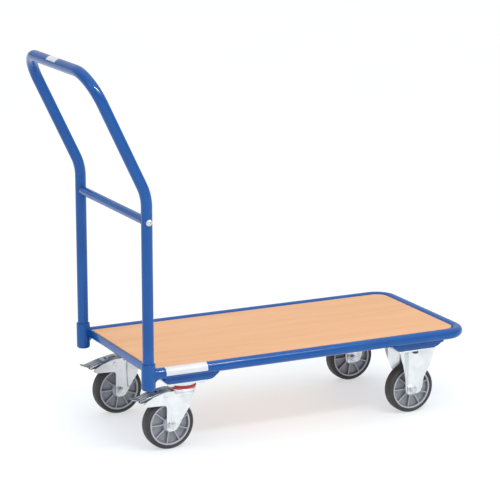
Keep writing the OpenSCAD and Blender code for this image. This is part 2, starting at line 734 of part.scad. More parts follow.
// A backing ring inside the wall joins each lean bend to the straight tube above it.
module push_handle()
    color(paint_blue) placed() difference() {
        union() {
            for (s = [-1, 1]) translate([0, s * rail_y, 0]) {
                translate([0, 0, socket_floor + touch])
                    tube(handle_d, handle_wall, lean_z - lean_t - socket_floor - touch);
                translate([0, 0, lean_z - lean_t]) rotate([0, 0, 180])
                    bend(handle_d, handle_wall, lean_r, lean);
            }
            lean_frame() {
                for (s = [-1, 1]) translate([0, s * rail_y, 0]) {
                    translate([0, 0, lean_t + ring_gap])
                        tube(handle_d, handle_wall, lean_len - grip_r - lean_t - ring_gap);
                    translate([0, 0, lean_t - ring_len / 2])
                        tube(handle_d - handle_wall, handle_wall / 2 + 0.15, ring_len);
                    translate([0, 0, lean_len - grip_r]) rotate([0, 0, -90 * s])
                        bend(handle_d, handle_wall, grip_r, 90);
                }
                translate([0, -rail_y + grip_r, lean_len]) along_y()
                    tube(handle_d, handle_wall, frame_w - 2 * grip_r);
            }
        }
        translate([0, -300, crossbar_z]) along_y() cylinder(r = m8_hole_r, h = 600);
    }

module handle_crossbar()
    color(paint_blue) placed() difference() {
        translate([0, -rail_y, crossbar_z]) along_y() tube(crossbar_d, crossbar_wall, frame_w);
        for (s = [-1, 1]) translate([0, s * rail_y, crossbar_z - 50])
            cylinder(r = handle_r + touch, h = 100);
    }

// Threaded plugs fixed inside the crossbar ends.
module crossbar_plugs()
    color(zinc_dark) placed() for (s = [-1, 1]) on_side(s)
        translate([0, rail_y - handle_r - 1 - plug_len, crossbar_z]) along_y() difference() {
            cylinder(r = crossbar_d / 2 - crossbar_wall - touch, h = plug_len);
            translate([0, 0, -1]) cylinder(r = m8_r + touch, h = plug_len + 2);
        }

// Round-headed socket screws with washers, through each upright into the crossbar.
module crossbar_screws()
    color(zinc) placed() for (s = [-1, 1]) on_side(s)
        translate([0, rail_y + handle_r, crossbar_z]) along_y() {
            translate([0, 0, -handle_d - 18]) cylinder(r = m8_r, h = handle_d + 19);
            cylinder(r = 8, h = washer_t);
            translate([0, 0, washer_t]) difference() {
                rotate_extrude() polygon([[0, 0], [7, 0], [7, 1.2], [6.2, 2.8], [4.5, 4], [0, 4.4]]);
                translate([0, 0, 1.9]) cylinder(d = 5 / cos(30), h = 4, $fn = 6);
            }
        }

// Blank plate wrapped over the middle of the grip.
module grip_label()
    color(label_white) placed() translate([grip_x, -26, grip_z]) along_y()
        rotate([0, 0, 205]) rotate_extrude(angle = 95)
            translate([handle_r, 0]) square([label_t, 56]);

// ---------- nodes ----------

rim_rail();
rear_cross_rail();
handle_socket_left();
handle_socket_right();
rear_caster_bearer();
front_caster_bearer();
board_lugs();
deck_board();
board_screws();
caster_bolts();
caster_nuts();
rating_label();
swivel_plate_left();
swivel_plate_right();
king_pin_left();
king_pin_right();
fixed_fork_left();
fixed_fork_right();
fixed_axle_bolts();
fixed_axle_nuts();
push_handle();
handle_crossbar();
crossbar_plugs();
crossbar_screws();
grip_label();
swivel_fork_left();
seal_ring_left();
race_balls_left();
swivel_axle_bolt_left();
swivel_axle_nut_left();
pedal_rivet_left();
brake_pedal_left();
brake_shoe_left();
swivel_fork_right();
seal_ring_right();
race_balls_right();
swivel_axle_bolt_right();
swivel_axle_nut_right();
pedal_rivet_right();
brake_pedal_right();
brake_shoe_right();
wheel_hub_rear_left();
tyre_rear_left();
bearings_rear_left();
axle_sleeve_rear_left();
wheel_hub_rear_right();
tyre_rear_right();
bearings_rear_right();
axle_sleeve_rear_right();
wheel_hub_front_left();
tyre_front_left();
bearings_front_left();
axle_sleeve_front_left();
wheel_hub_front_right();
tyre_front_right();
bearings_front_right();
axle_sleeve_front_right();
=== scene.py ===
"""Looks of a platform cart: detailed pieces, materials, floor, lights and camera.

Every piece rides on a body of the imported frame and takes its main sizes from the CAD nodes.
"""

import json
import math

import bmesh
import bpy
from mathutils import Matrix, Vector

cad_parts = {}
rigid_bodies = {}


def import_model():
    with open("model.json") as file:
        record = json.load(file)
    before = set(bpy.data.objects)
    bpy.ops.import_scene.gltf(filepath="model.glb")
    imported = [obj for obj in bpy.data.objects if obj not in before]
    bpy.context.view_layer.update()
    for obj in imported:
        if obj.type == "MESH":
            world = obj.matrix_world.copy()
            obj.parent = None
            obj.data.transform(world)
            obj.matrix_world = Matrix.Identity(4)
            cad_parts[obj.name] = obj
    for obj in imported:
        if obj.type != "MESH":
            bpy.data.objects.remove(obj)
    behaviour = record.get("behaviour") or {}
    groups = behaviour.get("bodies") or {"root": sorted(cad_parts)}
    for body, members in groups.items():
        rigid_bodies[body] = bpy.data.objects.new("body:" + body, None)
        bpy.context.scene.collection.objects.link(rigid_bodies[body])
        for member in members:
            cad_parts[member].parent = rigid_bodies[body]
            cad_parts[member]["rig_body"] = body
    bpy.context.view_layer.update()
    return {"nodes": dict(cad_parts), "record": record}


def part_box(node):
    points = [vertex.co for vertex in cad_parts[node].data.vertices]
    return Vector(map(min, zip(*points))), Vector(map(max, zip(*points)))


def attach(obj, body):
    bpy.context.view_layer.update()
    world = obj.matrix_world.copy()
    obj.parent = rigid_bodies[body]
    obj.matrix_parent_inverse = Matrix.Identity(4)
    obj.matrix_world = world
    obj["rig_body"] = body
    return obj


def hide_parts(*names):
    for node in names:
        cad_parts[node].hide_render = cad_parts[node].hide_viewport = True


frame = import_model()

MM = 0.001
SIDES = {"left": 1, "right": -1}

# ---------- sizes ----------
# Pieces are drawn in millimetres from the handle socket axis, on the left; x runs to the front.

AXIS_X = sum(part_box("handle_crossbar"), Vector()).x / 2


def span(node):
    """Lowest and highest corner of a CAD node, in millimetres from the handle socket axis."""
    return [(corner - Vector((AXIS_X, 0, 0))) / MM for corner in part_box(node)]


# Frame and deck
RAIL_LOW, RAIL_HIGH = span("rim_rail")
RAIL_R = (RAIL_HIGH.z - RAIL_LOW.z) / 2
RAIL_Z = RAIL_LOW.z + RAIL_R
RAIL_Y = RAIL_HIGH.y - RAIL_R
FRONT_X = RAIL_HIGH.x - RAIL_R
CORNER_R = 46.5
TUBE_WALL = 2

SOCKET_LOW, SOCKET_HIGH = span("handle_socket_left")
SOCKET_R = (SOCKET_HIGH.y - SOCKET_LOW.y) / 2
SOCKET_FLOOR = 6
GUSSET = 12
GUSSET_T = 5
ANGLE_T = 3
PAN_T = 3

BOARD_LOW, BOARD_HIGH = span("deck_board")
BOARD_CORNER = 31

# Push handle
HANDLE_LOW, HANDLE_HIGH = span("push_handle")
HANDLE_R = HANDLE_HIGH.x
LEAN = math.radians(25.5)
LEAN_Z = 630
LEAN_R = 115
GRIP_R = 75
GRIP_X = HANDLE_LOW.x + HANDLE_R
LEAN_LEN = -GRIP_X / math.sin(LEAN)
BAR_LOW, BAR_HIGH = span("handle_crossbar")
BAR_R = BAR_HIGH.x
BAR_Z = (BAR_LOW.z + BAR_HIGH.z) / 2

# Wheels
TYRE_LOW, TYRE_HIGH = span("tyre_rear_left")
WHEEL_R = (TYRE_HIGH.z - TYRE_LOW.z) / 2
WHEEL_Y = (TYRE_LOW.y + TYRE_HIGH.y) / 2
REAR_X = (TYRE_LOW.x + TYRE_HIGH.x) / 2
FIXED_X = sum(span("tyre_front_left"), Vector()).x / 2
TYRE_HALF = (TYRE_HIGH.y - TYRE_LOW.y) / 2
HUB_LOW, HUB_HIGH = span("wheel_hub_rear_left")
HUB_HALF = (HUB_HIGH.y - HUB_LOW.y) / 2
RIM_R = 49
RIM_EDGE_R = 51.5
RIM_HALF = 15.5
BOSS_R = 18
WEB = 5
RIB_TOP = 14
RIBS = 9
BEARING_R = 14
BEARING_BORE = 6
BEARING_W = 8
AXLE_R = 5

# Casters and brake pedals
KING_X = sum(span("king_pin_left"), Vector()).x / 2
PLATE_LOW, PLATE_HIGH = span("swivel_plate_left")
BEARER_Z = PLATE_HIGH.z
FIXED_PLATE_T = 4
SWIVEL_PLATE_T = 5
FIXED_PLATE_Z = BEARER_Z - FIXED_PLATE_T
SWIVEL_PLATE_Z = BEARER_Z - SWIVEL_PLATE_T
PLATE_HALF = (52.5, 42.5)
CROWN_Z = 150
CROWN_R = 34
CROWN_BORE = 6.1
RACE_R = 35
BRIDGE_Z = 145
FORK_OUT = 22.9
FORK_T = 2.5
BOLT_DX = 40
BOLT_DY = 30
MID_BOLT_DY = 31
BOLT_R = 4
WASHER_T = 1.6
REAR_PAN_X = KING_X + 4
STEP_X = 86
STEP_LEAN = 0.05
STEP_LOW = 70
STEP_TOP = 134
WING_X = 14
WING_RUN = 23
PIVOT = (55.4, 133)
EAR_R = 8
PEDAL_ROOT = (69.5, 149)
ROOT_SLOPE = 6 / 39.5
PEDAL_TIP = (-10, 130.5)
TREAD_SLOPE = 12.5 / 40
SLOT_X = (35.9, 40.6)
SLOT_HALF = 8.5
TONGUE_X = -6
TONGUE_SLOPE = 0.26
PEDAL_HALF = 19.6
PEDAL_T = 2.2
RIDGE_STEP = 10.5

# ---------- mesh helpers: a part is (vertices, faces) in millimetres ----------

# Most of a side that a rounded corner may take, so that two corners never meet.
SIDE_SHARE = 0.49
# Points nearer than this, in metres, are one point.
JOIN = 1e-6


def blend01(t):
    """Smooth step from 0 to 1."""
    t = min(1.0, max(0.0, t))
    return t * t * (3 - 2 * t)


def between(value, low, high, soft):
    """1 between low and high, falling to 0 over soft on each side."""
    return blend01((value - low) / soft + 0.5) * blend01((high - value) / soft + 0.5)


def soft_max(a, b, k):
    """The larger of two values, rounded over k where they are near each other."""
    return (a + b + math.hypot(a - b, k)) / 2


def steps(start, end, count):
    """Count + 1 even values from start to end."""
    return [start + (end - start) * i / count for i in range(count + 1)]


def line(points, x):
    """Height of a polyline of (x, z) points at x."""
    for (x0, z0), (x1, z1) in zip(points, points[1:]):
        if x <= x1:
            return z0 + (z1 - z0) * max(0.0, x - x0) / (x1 - x0)
    return points[-1][1]


def rounded(corners, radius=0.0, count=5):
    """A closed outline of (a, b) or (a, b, radius) corners, with those corners rounded."""
    outline = []
    for i, corner in enumerate(corners):
        here = Vector(corner[:2])
        r = corner[2] if len(corner) > 2 else radius
        to_last = Vector(corners[i - 1][:2]) - here
        to_next = Vector(corners[(i + 1) % len(corners)][:2]) - here
        if not r:
            outline.append(tuple(here))
            continue
        half = to_last.angle(to_next) / 2
        cut = min(r / math.tan(half), SIDE_SHARE * to_last.length, SIDE_SHARE * to_next.length)
        inwards = (to_last.normalized() + to_next.normalized()).normalized()
        middle = here + inwards * cut / math.cos(half)
        arm = here + to_last.normalized() * cut - middle
        other = here + to_next.normalized() * cut - middle
        turn = math.atan2(arm.x * other.y - arm.y * other.x, arm.dot(other))
        for a in steps(0, turn, count):
            outline.append((middle.x + arm.x * math.cos(a) - arm.y * math.sin(a),
                            middle.y + arm.x * math.sin(a) + arm.y * math.cos(a)))
    return outline


def grid(rows):
    """Quads between rows of points."""
    wide = len(rows[0])
    faces = [(i * wide + j, i * wide + j + 1, (i + 1) * wide + j + 1, (i + 1) * wide + j)
             for i in range(len(rows) - 1) for j in range(wide - 1)]
    return [p for row in rows for p in row], faces


def turned(profile, centre=(0, 0, 0), axis="z", count=72):
    """Turns a closed outline of (radius, height) about an axis.

    The profile is the outline, or a function that gives the outline at an angle.
    """
    rows = []
    for a in steps(0, 2 * math.pi, count):
        outline = profile(a) if callable(profile) else profile
        ring = [(r * math.cos(a), r * math.sin(a), h) for r, h in outline + outline[:1]]
        if axis == "y":
            ring = [(x, h, y) for x, y, h in ring]
        rows.append([(centre[0] + x, centre[1] + y, centre[2] + z) for x, y, z in ring])
    return grid(rows)


def prism(start, end):
    """A closed solid between two rings with equally many points."""
    count = len(start)
    faces = [tuple(range(count)), tuple(range(2 * count - 1, count - 1, -1))]
    faces += [(i, (i + 1) % count, count + (i + 1) % count, count + i) for i in range(count)]
    return start + end, faces


def extruded(outline, low, high, axis="y"):
    """A prism: an (x, z) outline along Y, or an (x, y) outline along Z."""
    def at(depth):
        return [(a, depth, b) if axis == "y" else (a, b, depth) for a, b in outline]
    return prism(at(low), at(high))


def swept(path, radius, wall=0.0, count=40, loop=False, fit_start=None, fit_end=None):
    """A round bar or tube along a path; radius may be a function of the path index."""
    points = [Vector(p) for p in path]
    last = len(points) - 1
    rings, inner = [], []
    side = None
    for i, p in enumerate(points):
        before = points[i - 1] if i or loop else p
        after = points[(i + 1) % (last + 1)] if i < last or loop else p
        tangent = (after - before).normalized()
        if side is None:
            side = tangent.orthogonal().normalized()
        side = (side - tangent * side.dot(tangent)).normalized()
        up = tangent.cross(side)
        r = radius(i) if callable(radius) else radius
        angles = [2 * math.pi * k / count for k in range(count + 1)]
        rings.append([p + (side * math.cos(a) + up * math.sin(a)) * r for a in angles])
        inner.append([p + (side * math.cos(a) + up * math.sin(a)) * (r - wall) for a in angles])
    if fit_start:
        rings[0] = [fit_start(p) for p in rings[0]]
        inner[0] = [fit_start(p) for p in inner[0]]
    if fit_end:
        rings[-1] = [fit_end(p) for p in rings[-1]]
        inner[-1] = [fit_end(p) for p in inner[-1]]
    if loop:
        return grid(rings + rings[:1])
    if wall:
        return grid([*rings, *reversed(inner), rings[0]])
    verts, faces = grid(rings)
    faces.append(tuple(range(count)))
    faces.append(tuple(range(last * (count + 1) + count - 1, last * (count + 1) - 1, -1)))
    return verts, faces


def arc(centre, u, v, radius, start, end, count=14):
    """Points round a centre, from direction u towards direction v."""
    centre, u, v = Vector(centre), Vector(u), Vector(v)
    return [centre + (u * math.cos(a) + v * math.sin(a)) * radius for a in steps(start, end, count)]


def mirrored(part):
    """The same part on the other side of the cart."""
    verts, faces = part
    return [(p[0], -p[1], p[2]) for p in verts], [tuple(reversed(f)) for f in faces]


def moved(part, offset):
    """The same part, shifted by an offset."""
    verts, faces = part
    return [tuple(Vector(p) + Vector(offset)) for p in verts], faces


def piece(name, parts, slot, body, replaces=(), side=1, sheet=0.0, bevel=0.0, crease=30):
    """One visible object from parts.

    sheet gives open surfaces a thickness, and bevel rounds edges sharper than crease degrees.
    """
    bm = bmesh.new()
    for verts, faces in parts if side > 0 else [mirrored(p) for p in parts]:
        made = [bm.verts.new((p[0] * MM + AXIS_X, p[1] * MM, p[2] * MM)) for p in verts]
        for face in faces:
            bm.faces.new([made[i] for i in face])
    bmesh.ops.remove_doubles(bm, verts=bm.verts, dist=JOIN)
    bmesh.ops.dissolve_degenerate(bm, edges=bm.edges, dist=JOIN / 10)
    if not sheet:
        bmesh.ops.recalc_face_normals(bm, faces=bm.faces)
    return finished(name, bm, slot, body, replaces, sheet, bevel, crease)


def finished(name, bm, slot, body, replaces, sheet=0.0, bevel=0.0, crease=30):
    """Turns a bmesh into a shown object with its modifiers, the material of its slot, and its body.
    """
    limit = math.radians(crease)
    for face in bm.faces:
        face.smooth = True
    for edge in bm.edges:
        edge.smooth = bool(bevel) or edge.calc_face_angle(0.0) < limit
    mesh = bpy.data.meshes.new(name)
    bm.to_mesh(mesh)
    bm.free()
    made = bpy.data.objects.new(name, mesh)
    bpy.context.scene.collection.objects.link(made)
    if sheet:
        thick = made.modifiers.new("sheet", "SOLIDIFY")
        thick.thickness = sheet * MM
        thick.offset = -1
        thick.use_even_offset = True
    if bevel:
        edges = made.modifiers.new("edges", "BEVEL")
        edges.width = bevel * MM
        edges.segments = 3
        edges.limit_method = "ANGLE"
        edges.angle_limit = limit
        edges.harden_normals = True
    mesh.materials.append(MATERIALS[slot])
    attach(made, body)
    if replaces:
        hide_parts(*replaces)
    return made


def softened(node, bevel, crease=30):
    """Stands for a CAD node with the same shape and small rounded edges."""
    source = frame["nodes"][node]
    bm = bmesh.new()
    made = [bm.verts.new(v.co) for v in source.data.vertices]
    for polygon in source.data.polygons:
        bm.faces.new([made[i] for i in polygon.vertices])
    flat = math.radians(0.5)
    bmesh.ops.remove_doubles(bm, verts=bm.verts, dist=2 * JOIN)
    bmesh.ops.dissolve_limit(bm, angle_limit=flat, verts=bm.verts, edges=bm.edges)
    return finished(node + "_finished", bm, SLOT_OF[node], source["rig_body"], [node],
                    bevel=bevel, crease=crease)


# ---------- materials ----------


def srgb(*rgb):
    """Linear colour from 0 to 255 display values."""
    return [((c / 255 + 0.055) / 1.055) ** 2.4 if c > 10 else c / 255 / 12.92 for c in rgb] + [1.0]


class Finish:
    """A node material: a Principled shader and helpers that add nodes to it."""

    def __init__(self, name, **sockets):
        self.material = bpy.data.materials.new(name)
        self.material.use_nodes = True
        self.tree = self.material.node_tree
        self.shader = self.tree.nodes["Principled BSDF"]
        for socket, value in sockets.items():
            self.shader.inputs[socket.replace("_", " ")].default_value = value
        self.place = self.node("ShaderNodeTexCoord").outputs["Object"]

    def node(self, kind, inputs=None, **values):
        """A new node with its inputs linked or set, and its other values."""
        made = self.tree.nodes.new(kind)
        for key, value in values.items():
            setattr(made, key, value)
        for key, value in (inputs or {}).items():
            if isinstance(value, bpy.types.NodeSocket):
                self.tree.links.new(value, made.inputs[key])
            else:
                made.inputs[key].default_value = value
        return made

    def maths(self, operation, *values):
        return self.node("ShaderNodeMath", dict(enumerate(values)), operation=operation).outputs[0]

    def axis(self, letter):
        return self.node("ShaderNodeSeparateXYZ", {"Vector": self.place}).outputs[letter]

    def off_wheel(self):
        """Distance in Y from the middle plane of the nearer row of wheels."""
        across = self.maths("ABSOLUTE", self.axis("Y"))
        return self.maths("ABSOLUTE", self.maths("SUBTRACT", across, WHEEL_Y * MM))

    def stretched(self, scale):
        """Object coordinates scaled by axis, which draws a pattern out along the small ones."""
        return self.node("ShaderNodeMapping", {"Vector": self.place, "Scale": scale}).outputs[0]

    def noise(self, scale, detail=3.0, rough=0.5, where=None, distortion=0.0):
        inputs = {"Vector": where or self.place, "Scale": scale, "Detail": detail,
                  "Roughness": rough, "Distortion": distortion}
        return self.node("ShaderNodeTexNoise", inputs).outputs["Fac"]

    def ramp(self, value, stops):
        """A value turned into a colour or a grey by (value, colour) stops."""
        made = self.node("ShaderNodeValToRGB", {"Fac": value})
        band = made.color_ramp
        for i, (at, colour) in enumerate(stops):
            stop = band.elements[i] if i < 2 else band.elements.new(at)
            stop.position = at
            stop.color = colour if hasattr(colour, "__len__") else (colour, colour, colour, 1)
        return made.outputs["Color"]

    def level(self, value, low, high):
        """The usual range of a noise, 0.3 to 0.7, spread over low to high."""
        return self.node("ShaderNodeMapRange", {"Value": value, "From Min": 0.3, "From Max": 0.7,
                                                "To Min": low, "To Max": high}).outputs["Result"]

    def mix(self, share, a, b, kind="MIX"):
        """Colour a with a share of colour b."""
        made = self.node("ShaderNodeMix", data_type="RGBA", blend_type=kind)
        for key, value in ((0, share), (6, a), (7, b)):
            if isinstance(value, bpy.types.NodeSocket):
                self.tree.links.new(value, made.inputs[key])
            else:
                made.inputs[key].default_value = value
        return made.outputs[2]

    def bump(self, height, depth, strength=1.0, after=None):
        """Bump of the given depth in millimetres."""
        inputs = {"Height": height, "Distance": depth * MM, "Strength": strength}
        if after:
            inputs["Normal"] = after
        return self.node("ShaderNodeBump", inputs).outputs["Normal"]

    def use(self, **sockets):
        """Links the shader's inputs and gives the finished material."""
        for socket, value in sockets.items():
            self.tree.links.new(value, self.shader.inputs[socket.replace("_", " ")])
        return self.material


def blue_paint():
    """Gloss powder coat: faint orange peel, slight tone changes, a few faint scuffs."""
    f = Finish("blue_powder_coat", Coat_Weight=0.4, Coat_Roughness=0.05, Specular_IOR_Level=0.15)
    tone = f.ramp(f.noise(9, 2), [(0.35, srgb(12, 78, 150)), (0.65, srgb(16, 85, 158))])
    scuffs = f.ramp(f.noise(260, 4, 0.6, f.stretched((0.25, 1, 1)), 1.5), [(0.72, 0.0), (0.8, 0.2)])
    marked = f.mix(scuffs, tone, srgb(60, 110, 172))
    peel = f.bump(f.noise(420, 2, 0.4), 0.02)
    fine = f.bump(f.noise(2600, 1), 0.002, after=peel)
    return f.use(Base_Color=marked, Roughness=f.level(f.noise(60, 3), 0.16, 0.24), Normal=fine)


def beech_board():
    """Beech decor: long soft bands, fine streaks and short dark pores, sealed satin."""
    f = Finish("beech_decor", Coat_Weight=0.05, Coat_Roughness=0.3, Specular_IOR_Level=0.3)
    bands = f.noise(5, 3, 0.55, f.stretched((0.55, 5.5, 5.5)), 0.9)
    base = f.ramp(bands, [(0.3, srgb(222, 167, 119)), (0.52, srgb(227, 174, 127)),
                          (0.74, srgb(230, 180, 134))])
    streaks = f.noise(90, 5, 0.65, f.stretched((0.06, 3.2, 3.2)), 0.4)
    lined = f.mix(f.ramp(streaks, [(0.42, 0.0), (0.75, 0.25)]), base, srgb(212, 150, 100))
    pores = f.noise(700, 2, 0.5, f.stretched((0.16, 2.3, 2.3)))
    flecked = f.mix(f.ramp(pores, [(0.655, 0.0), (0.72, 0.35)]), lined, srgb(184, 126, 82))
    relief = f.bump(pores, 0.03, 0.5, f.bump(streaks, 0.05, 0.4))
    return f.use(Base_Color=flecked, Roughness=f.level(f.noise(240, 3), 0.36, 0.5), Normal=relief)


def zinc(name, light, dark, low, high, depth=0.03, metallic=1.0, painted_shade_mask=None):
    """Bright zinc plate on pressed steel: cloudy tone, rolling lines, a soft spangle, and painted
    shade where a mask is given.
    """
    f = Finish(name, Metallic=metallic)
    cloud = f.noise(34, 4, 0.6, None, 0.6)
    lines = f.noise(900, 2, 0.5, f.stretched((1, 1, 0.03)))
    tone = f.ramp(cloud, [(0.3, dark), (0.7, light)])
    # Painted shade: the tone darkens to near-black where the mask is 1.
    if painted_shade_mask:
        tone = f.mix(painted_shade_mask(f), tone, srgb(44, 46, 48))
    lined = f.mix(f.level(lines, 0.0, 0.25), tone, dark)
    relief = f.bump(f.noise(1500, 2), depth / 3, after=f.bump(f.noise(120, 3, 0.5), depth))
    return f.use(Base_Color=lined, Roughness=f.level(f.noise(75, 4, 0.7), low, high), Normal=relief)


def painted_groove_shade(f):
    """Painted shade in the grooves between the three ridges of a pedal's tread: 1 there, 0
    elsewhere.
    """
    wave = f.maths("COSINE", f.maths("MULTIPLY", f.off_wheel(), 2 * math.pi / (RIDGE_STEP * MM)))
    valley = f.ramp(f.maths("MULTIPLY_ADD", wave, 0.5, 0.5), [(0.15, 1.0), (0.45, 0.0)])
    run = f.node("ShaderNodeMapRange", {"Value": f.axis("X"), "From Min": AXIS_X + 28 * MM,
                                        "From Max": AXIS_X + 24 * MM}).outputs["Result"]
    return f.maths("MULTIPLY", valley, run)


def painted_step_shade(f):
    """Painted shade along the pressed step in the inner legs of the swivel forks: partly 1 there, 0
    elsewhere.
    """
    z = f.axis("Z")
    foot_x = AXIS_X + (STEP_X + STEP_LEAN * STEP_TOP) * MM
    step = f.maths("SUBTRACT", foot_x, f.maths("MULTIPLY", z, STEP_LEAN))
    off = f.maths("DIVIDE", f.maths("ABSOLUTE", f.maths("SUBTRACT", f.axis("X"), step)), 2.2 * MM)
    near = f.ramp(off, [(0.35, 0.75), (1.0, 0.0)])
    inner = f.maths("LESS_THAN", f.maths("ABSOLUTE", f.axis("Y")), WHEEL_Y * MM)
    tall = f.maths("GREATER_THAN", z, STEP_LOW * MM)
    return f.maths("MULTIPLY", near, f.maths("MULTIPLY", inner, tall))


def moulded(name, light, dark, low, high, grain, depth, painted_shade_factor=None, **sockets):
    """A moulded surface: tone changes, an even fine grain, smoother and duller areas, and painted
    shade where a factor is given.
    """
    f = Finish(name, **sockets)
    tone = f.ramp(f.noise(30, 4, 0.6), [(0.32, dark), (0.68, light)])
    # Painted shade: the tone is multiplied down where the factor is below 1.
    if painted_shade_factor:
        tone = f.mix(1.0, tone, painted_shade_factor(f), "MULTIPLY")
    relief = f.bump(f.noise(grain, 3, 0.6), depth, after=f.bump(f.noise(grain / 9, 2), depth))
    return f.use(Base_Color=tone, Roughness=f.level(f.noise(55, 3), low, high), Normal=relief)


def hub_painted_shade(f):
    """Painted shade by height over the web: darker web, darkest rib flanks, rib and rim faces at
    full tone.
    """
    height = f.maths("DIVIDE", f.off_wheel(), RIM_HALF * MM)
    return f.ramp(height, [(0.0, 0.8), (0.35, 0.8), (0.42, 0.4), (0.82, 0.46), (0.9, 1.0)])


# The material of every slot; the dark steel is for pedal flanges and the nuts in shadow.
SLOT_OF = {row["node"]: row["material_slot"] for row in frame["record"]["subparts"]}
MATERIALS = {
    "blue_paint": blue_paint(),
    "beech_board": beech_board(),
    "zinc_pressing": zinc("bright_zinc_sheet", srgb(238, 240, 240), srgb(219, 222, 224),
                          0.3, 0.44, painted_shade_mask=painted_step_shade),
    "zinc_fastener": zinc("zinc_fasteners", srgb(232, 234, 236), srgb(196, 200, 204),
                          0.2, 0.34, 0.015),
    "pedal_steel": zinc("pedal_zinc", srgb(214, 217, 216), srgb(166, 170, 168),
                        0.3, 0.42, 0.015, painted_shade_mask=painted_groove_shade),
    "plain_steel": zinc("machined_steel", srgb(196, 198, 202), srgb(152, 156, 162),
                        0.22, 0.38, 0.01),
    "red_seal": moulded("red_seal", srgb(205, 42, 46), srgb(182, 30, 36),
                        0.26, 0.38, 1300, 0.01, Coat_Weight=0.2),
    "hub_plastic": moulded("hub_polypropylene", srgb(178, 181, 189), srgb(168, 171, 179),
                           0.34, 0.48, 1500, 0.02, hub_painted_shade),
    "tyre_rubber": moulded("tyre_rubber", srgb(60, 59, 61), srgb(47, 46, 48),
                           0.5, 0.68, 1100, 0.04),
    "brake_block": moulded("brake_block_rubber", srgb(48, 48, 50), srgb(36, 36, 38),
                           0.6, 0.75, 700, 0.05),
    "blank_label": moulded("blank_film", srgb(220, 222, 225), srgb(212, 214, 218),
                           0.36, 0.46, 800, 0.006),
}
DARK_STEEL = zinc("dark_zinc", srgb(82, 84, 86), srgb(62, 64, 66), 0.45, 0.6, 0.015,
                  metallic=0.2)
for node_name, node_object in frame["nodes"].items():
    node_object.data.materials.clear()
    node_object.data.materials.append(MATERIALS[SLOT_OF[node_name]])

# ---------- frame ----------


def on_socket(p, s):
    """Moves a rail end point onto the socket tube."""
    reach = SOCKET_R - 0.4
    return Vector((math.sqrt(max(0.0, reach ** 2 - (p.y - s * RAIL_Y) ** 2)), p.y, p.z))


def rim_rail():
    """One bent tube: right side, front and left side."""
    straight = FRONT_X - CORNER_R
    path = [Vector((0, -RAIL_Y, RAIL_Z)), Vector((straight * 0.5, -RAIL_Y, RAIL_Z))]
    quarter = (CORNER_R, 0, math.pi / 2, 24)
    path += arc((straight, -RAIL_Y + CORNER_R, RAIL_Z), (0, -1, 0), (1, 0, 0), *quarter)
    path += arc((straight, RAIL_Y - CORNER_R, RAIL_Z), (1, 0, 0), (0, 1, 0), *quarter)
    path += [Vector((straight * 0.5, RAIL_Y, RAIL_Z)), Vector((0, RAIL_Y, RAIL_Z))]
    tube = swept(path, RAIL_R, TUBE_WALL, 56, fit_start=lambda p: on_socket(p, -1),
                 fit_end=lambda p: on_socket(p, 1))
    piece("rim_rail_tube", [tube], "blue_paint", "root", ["rim_rail"])


def sockets():
    """Upright socket tubes with a closed, rounded lower end and an eased mouth."""
    bore = HANDLE_R + 0.2
    inside = SOCKET_LOW.z + SOCKET_FLOOR
    outline = rounded([(0, SOCKET_LOW.z), (SOCKET_R, SOCKET_LOW.z, 5.5),
                       (SOCKET_R, SOCKET_HIGH.z, 0.9), (bore, SOCKET_HIGH.z, 0.7),
                       (bore, inside), (0, inside)])
    top = RAIL_Z - RAIL_R - 0.02
    web = [(SOCKET_R - 1, top), (SOCKET_R + GUSSET, top)]
    web += [(SOCKET_R + GUSSET * (1 - math.sin(a)), top - GUSSET * (1 - math.cos(a)))
            for a in steps(0, math.pi / 2, 10)][1:]
    web += [(SOCKET_R - 1, top - GUSSET)]
    gusset = extruded(web, RAIL_Y - GUSSET_T / 2, RAIL_Y + GUSSET_T / 2)
    tube = turned(outline, (0, RAIL_Y, 0))
    for name, s in SIDES.items():
        node = f"handle_socket_{name}"
        piece(f"socket_tube_{name}", [tube], "blue_paint", "root", [node], s)
        piece(f"socket_gusset_{name}", [gusset], "blue_paint", "root", [node], s,
              bevel=0.6, crease=50)


def rail_gap_y(z, clear=0.2):
    """How far out, on the left, a surface at height z reaches before the side rail."""
    return RAIL_Y - math.sqrt(max(0.0, (RAIL_R - clear) ** 2 - (z - RAIL_Z) ** 2))


def cross_rail():
    """Angle bar between the side rails, with a bent corner and coped ends."""
    low, high = span("rear_cross_rail")
    t = ANGLE_T
    outline = rounded([(low.x, low.z, 4.2), (low.x, high.z, 0.8), (low.x + t, high.z, 0.8),
                       (low.x + t, low.z + t, 1.2), (high.x, low.z + t, 0.8), (high.x, low.z, 0.8)],
                      count=4)
    ends = [[(x, s * rail_gap_y(z), z) for x, z in outline] for s in (-1, 1)]
    piece("cross_rail_angle", [prism(*ends)], "blue_paint", "root", ["rear_cross_rail"], crease=40)


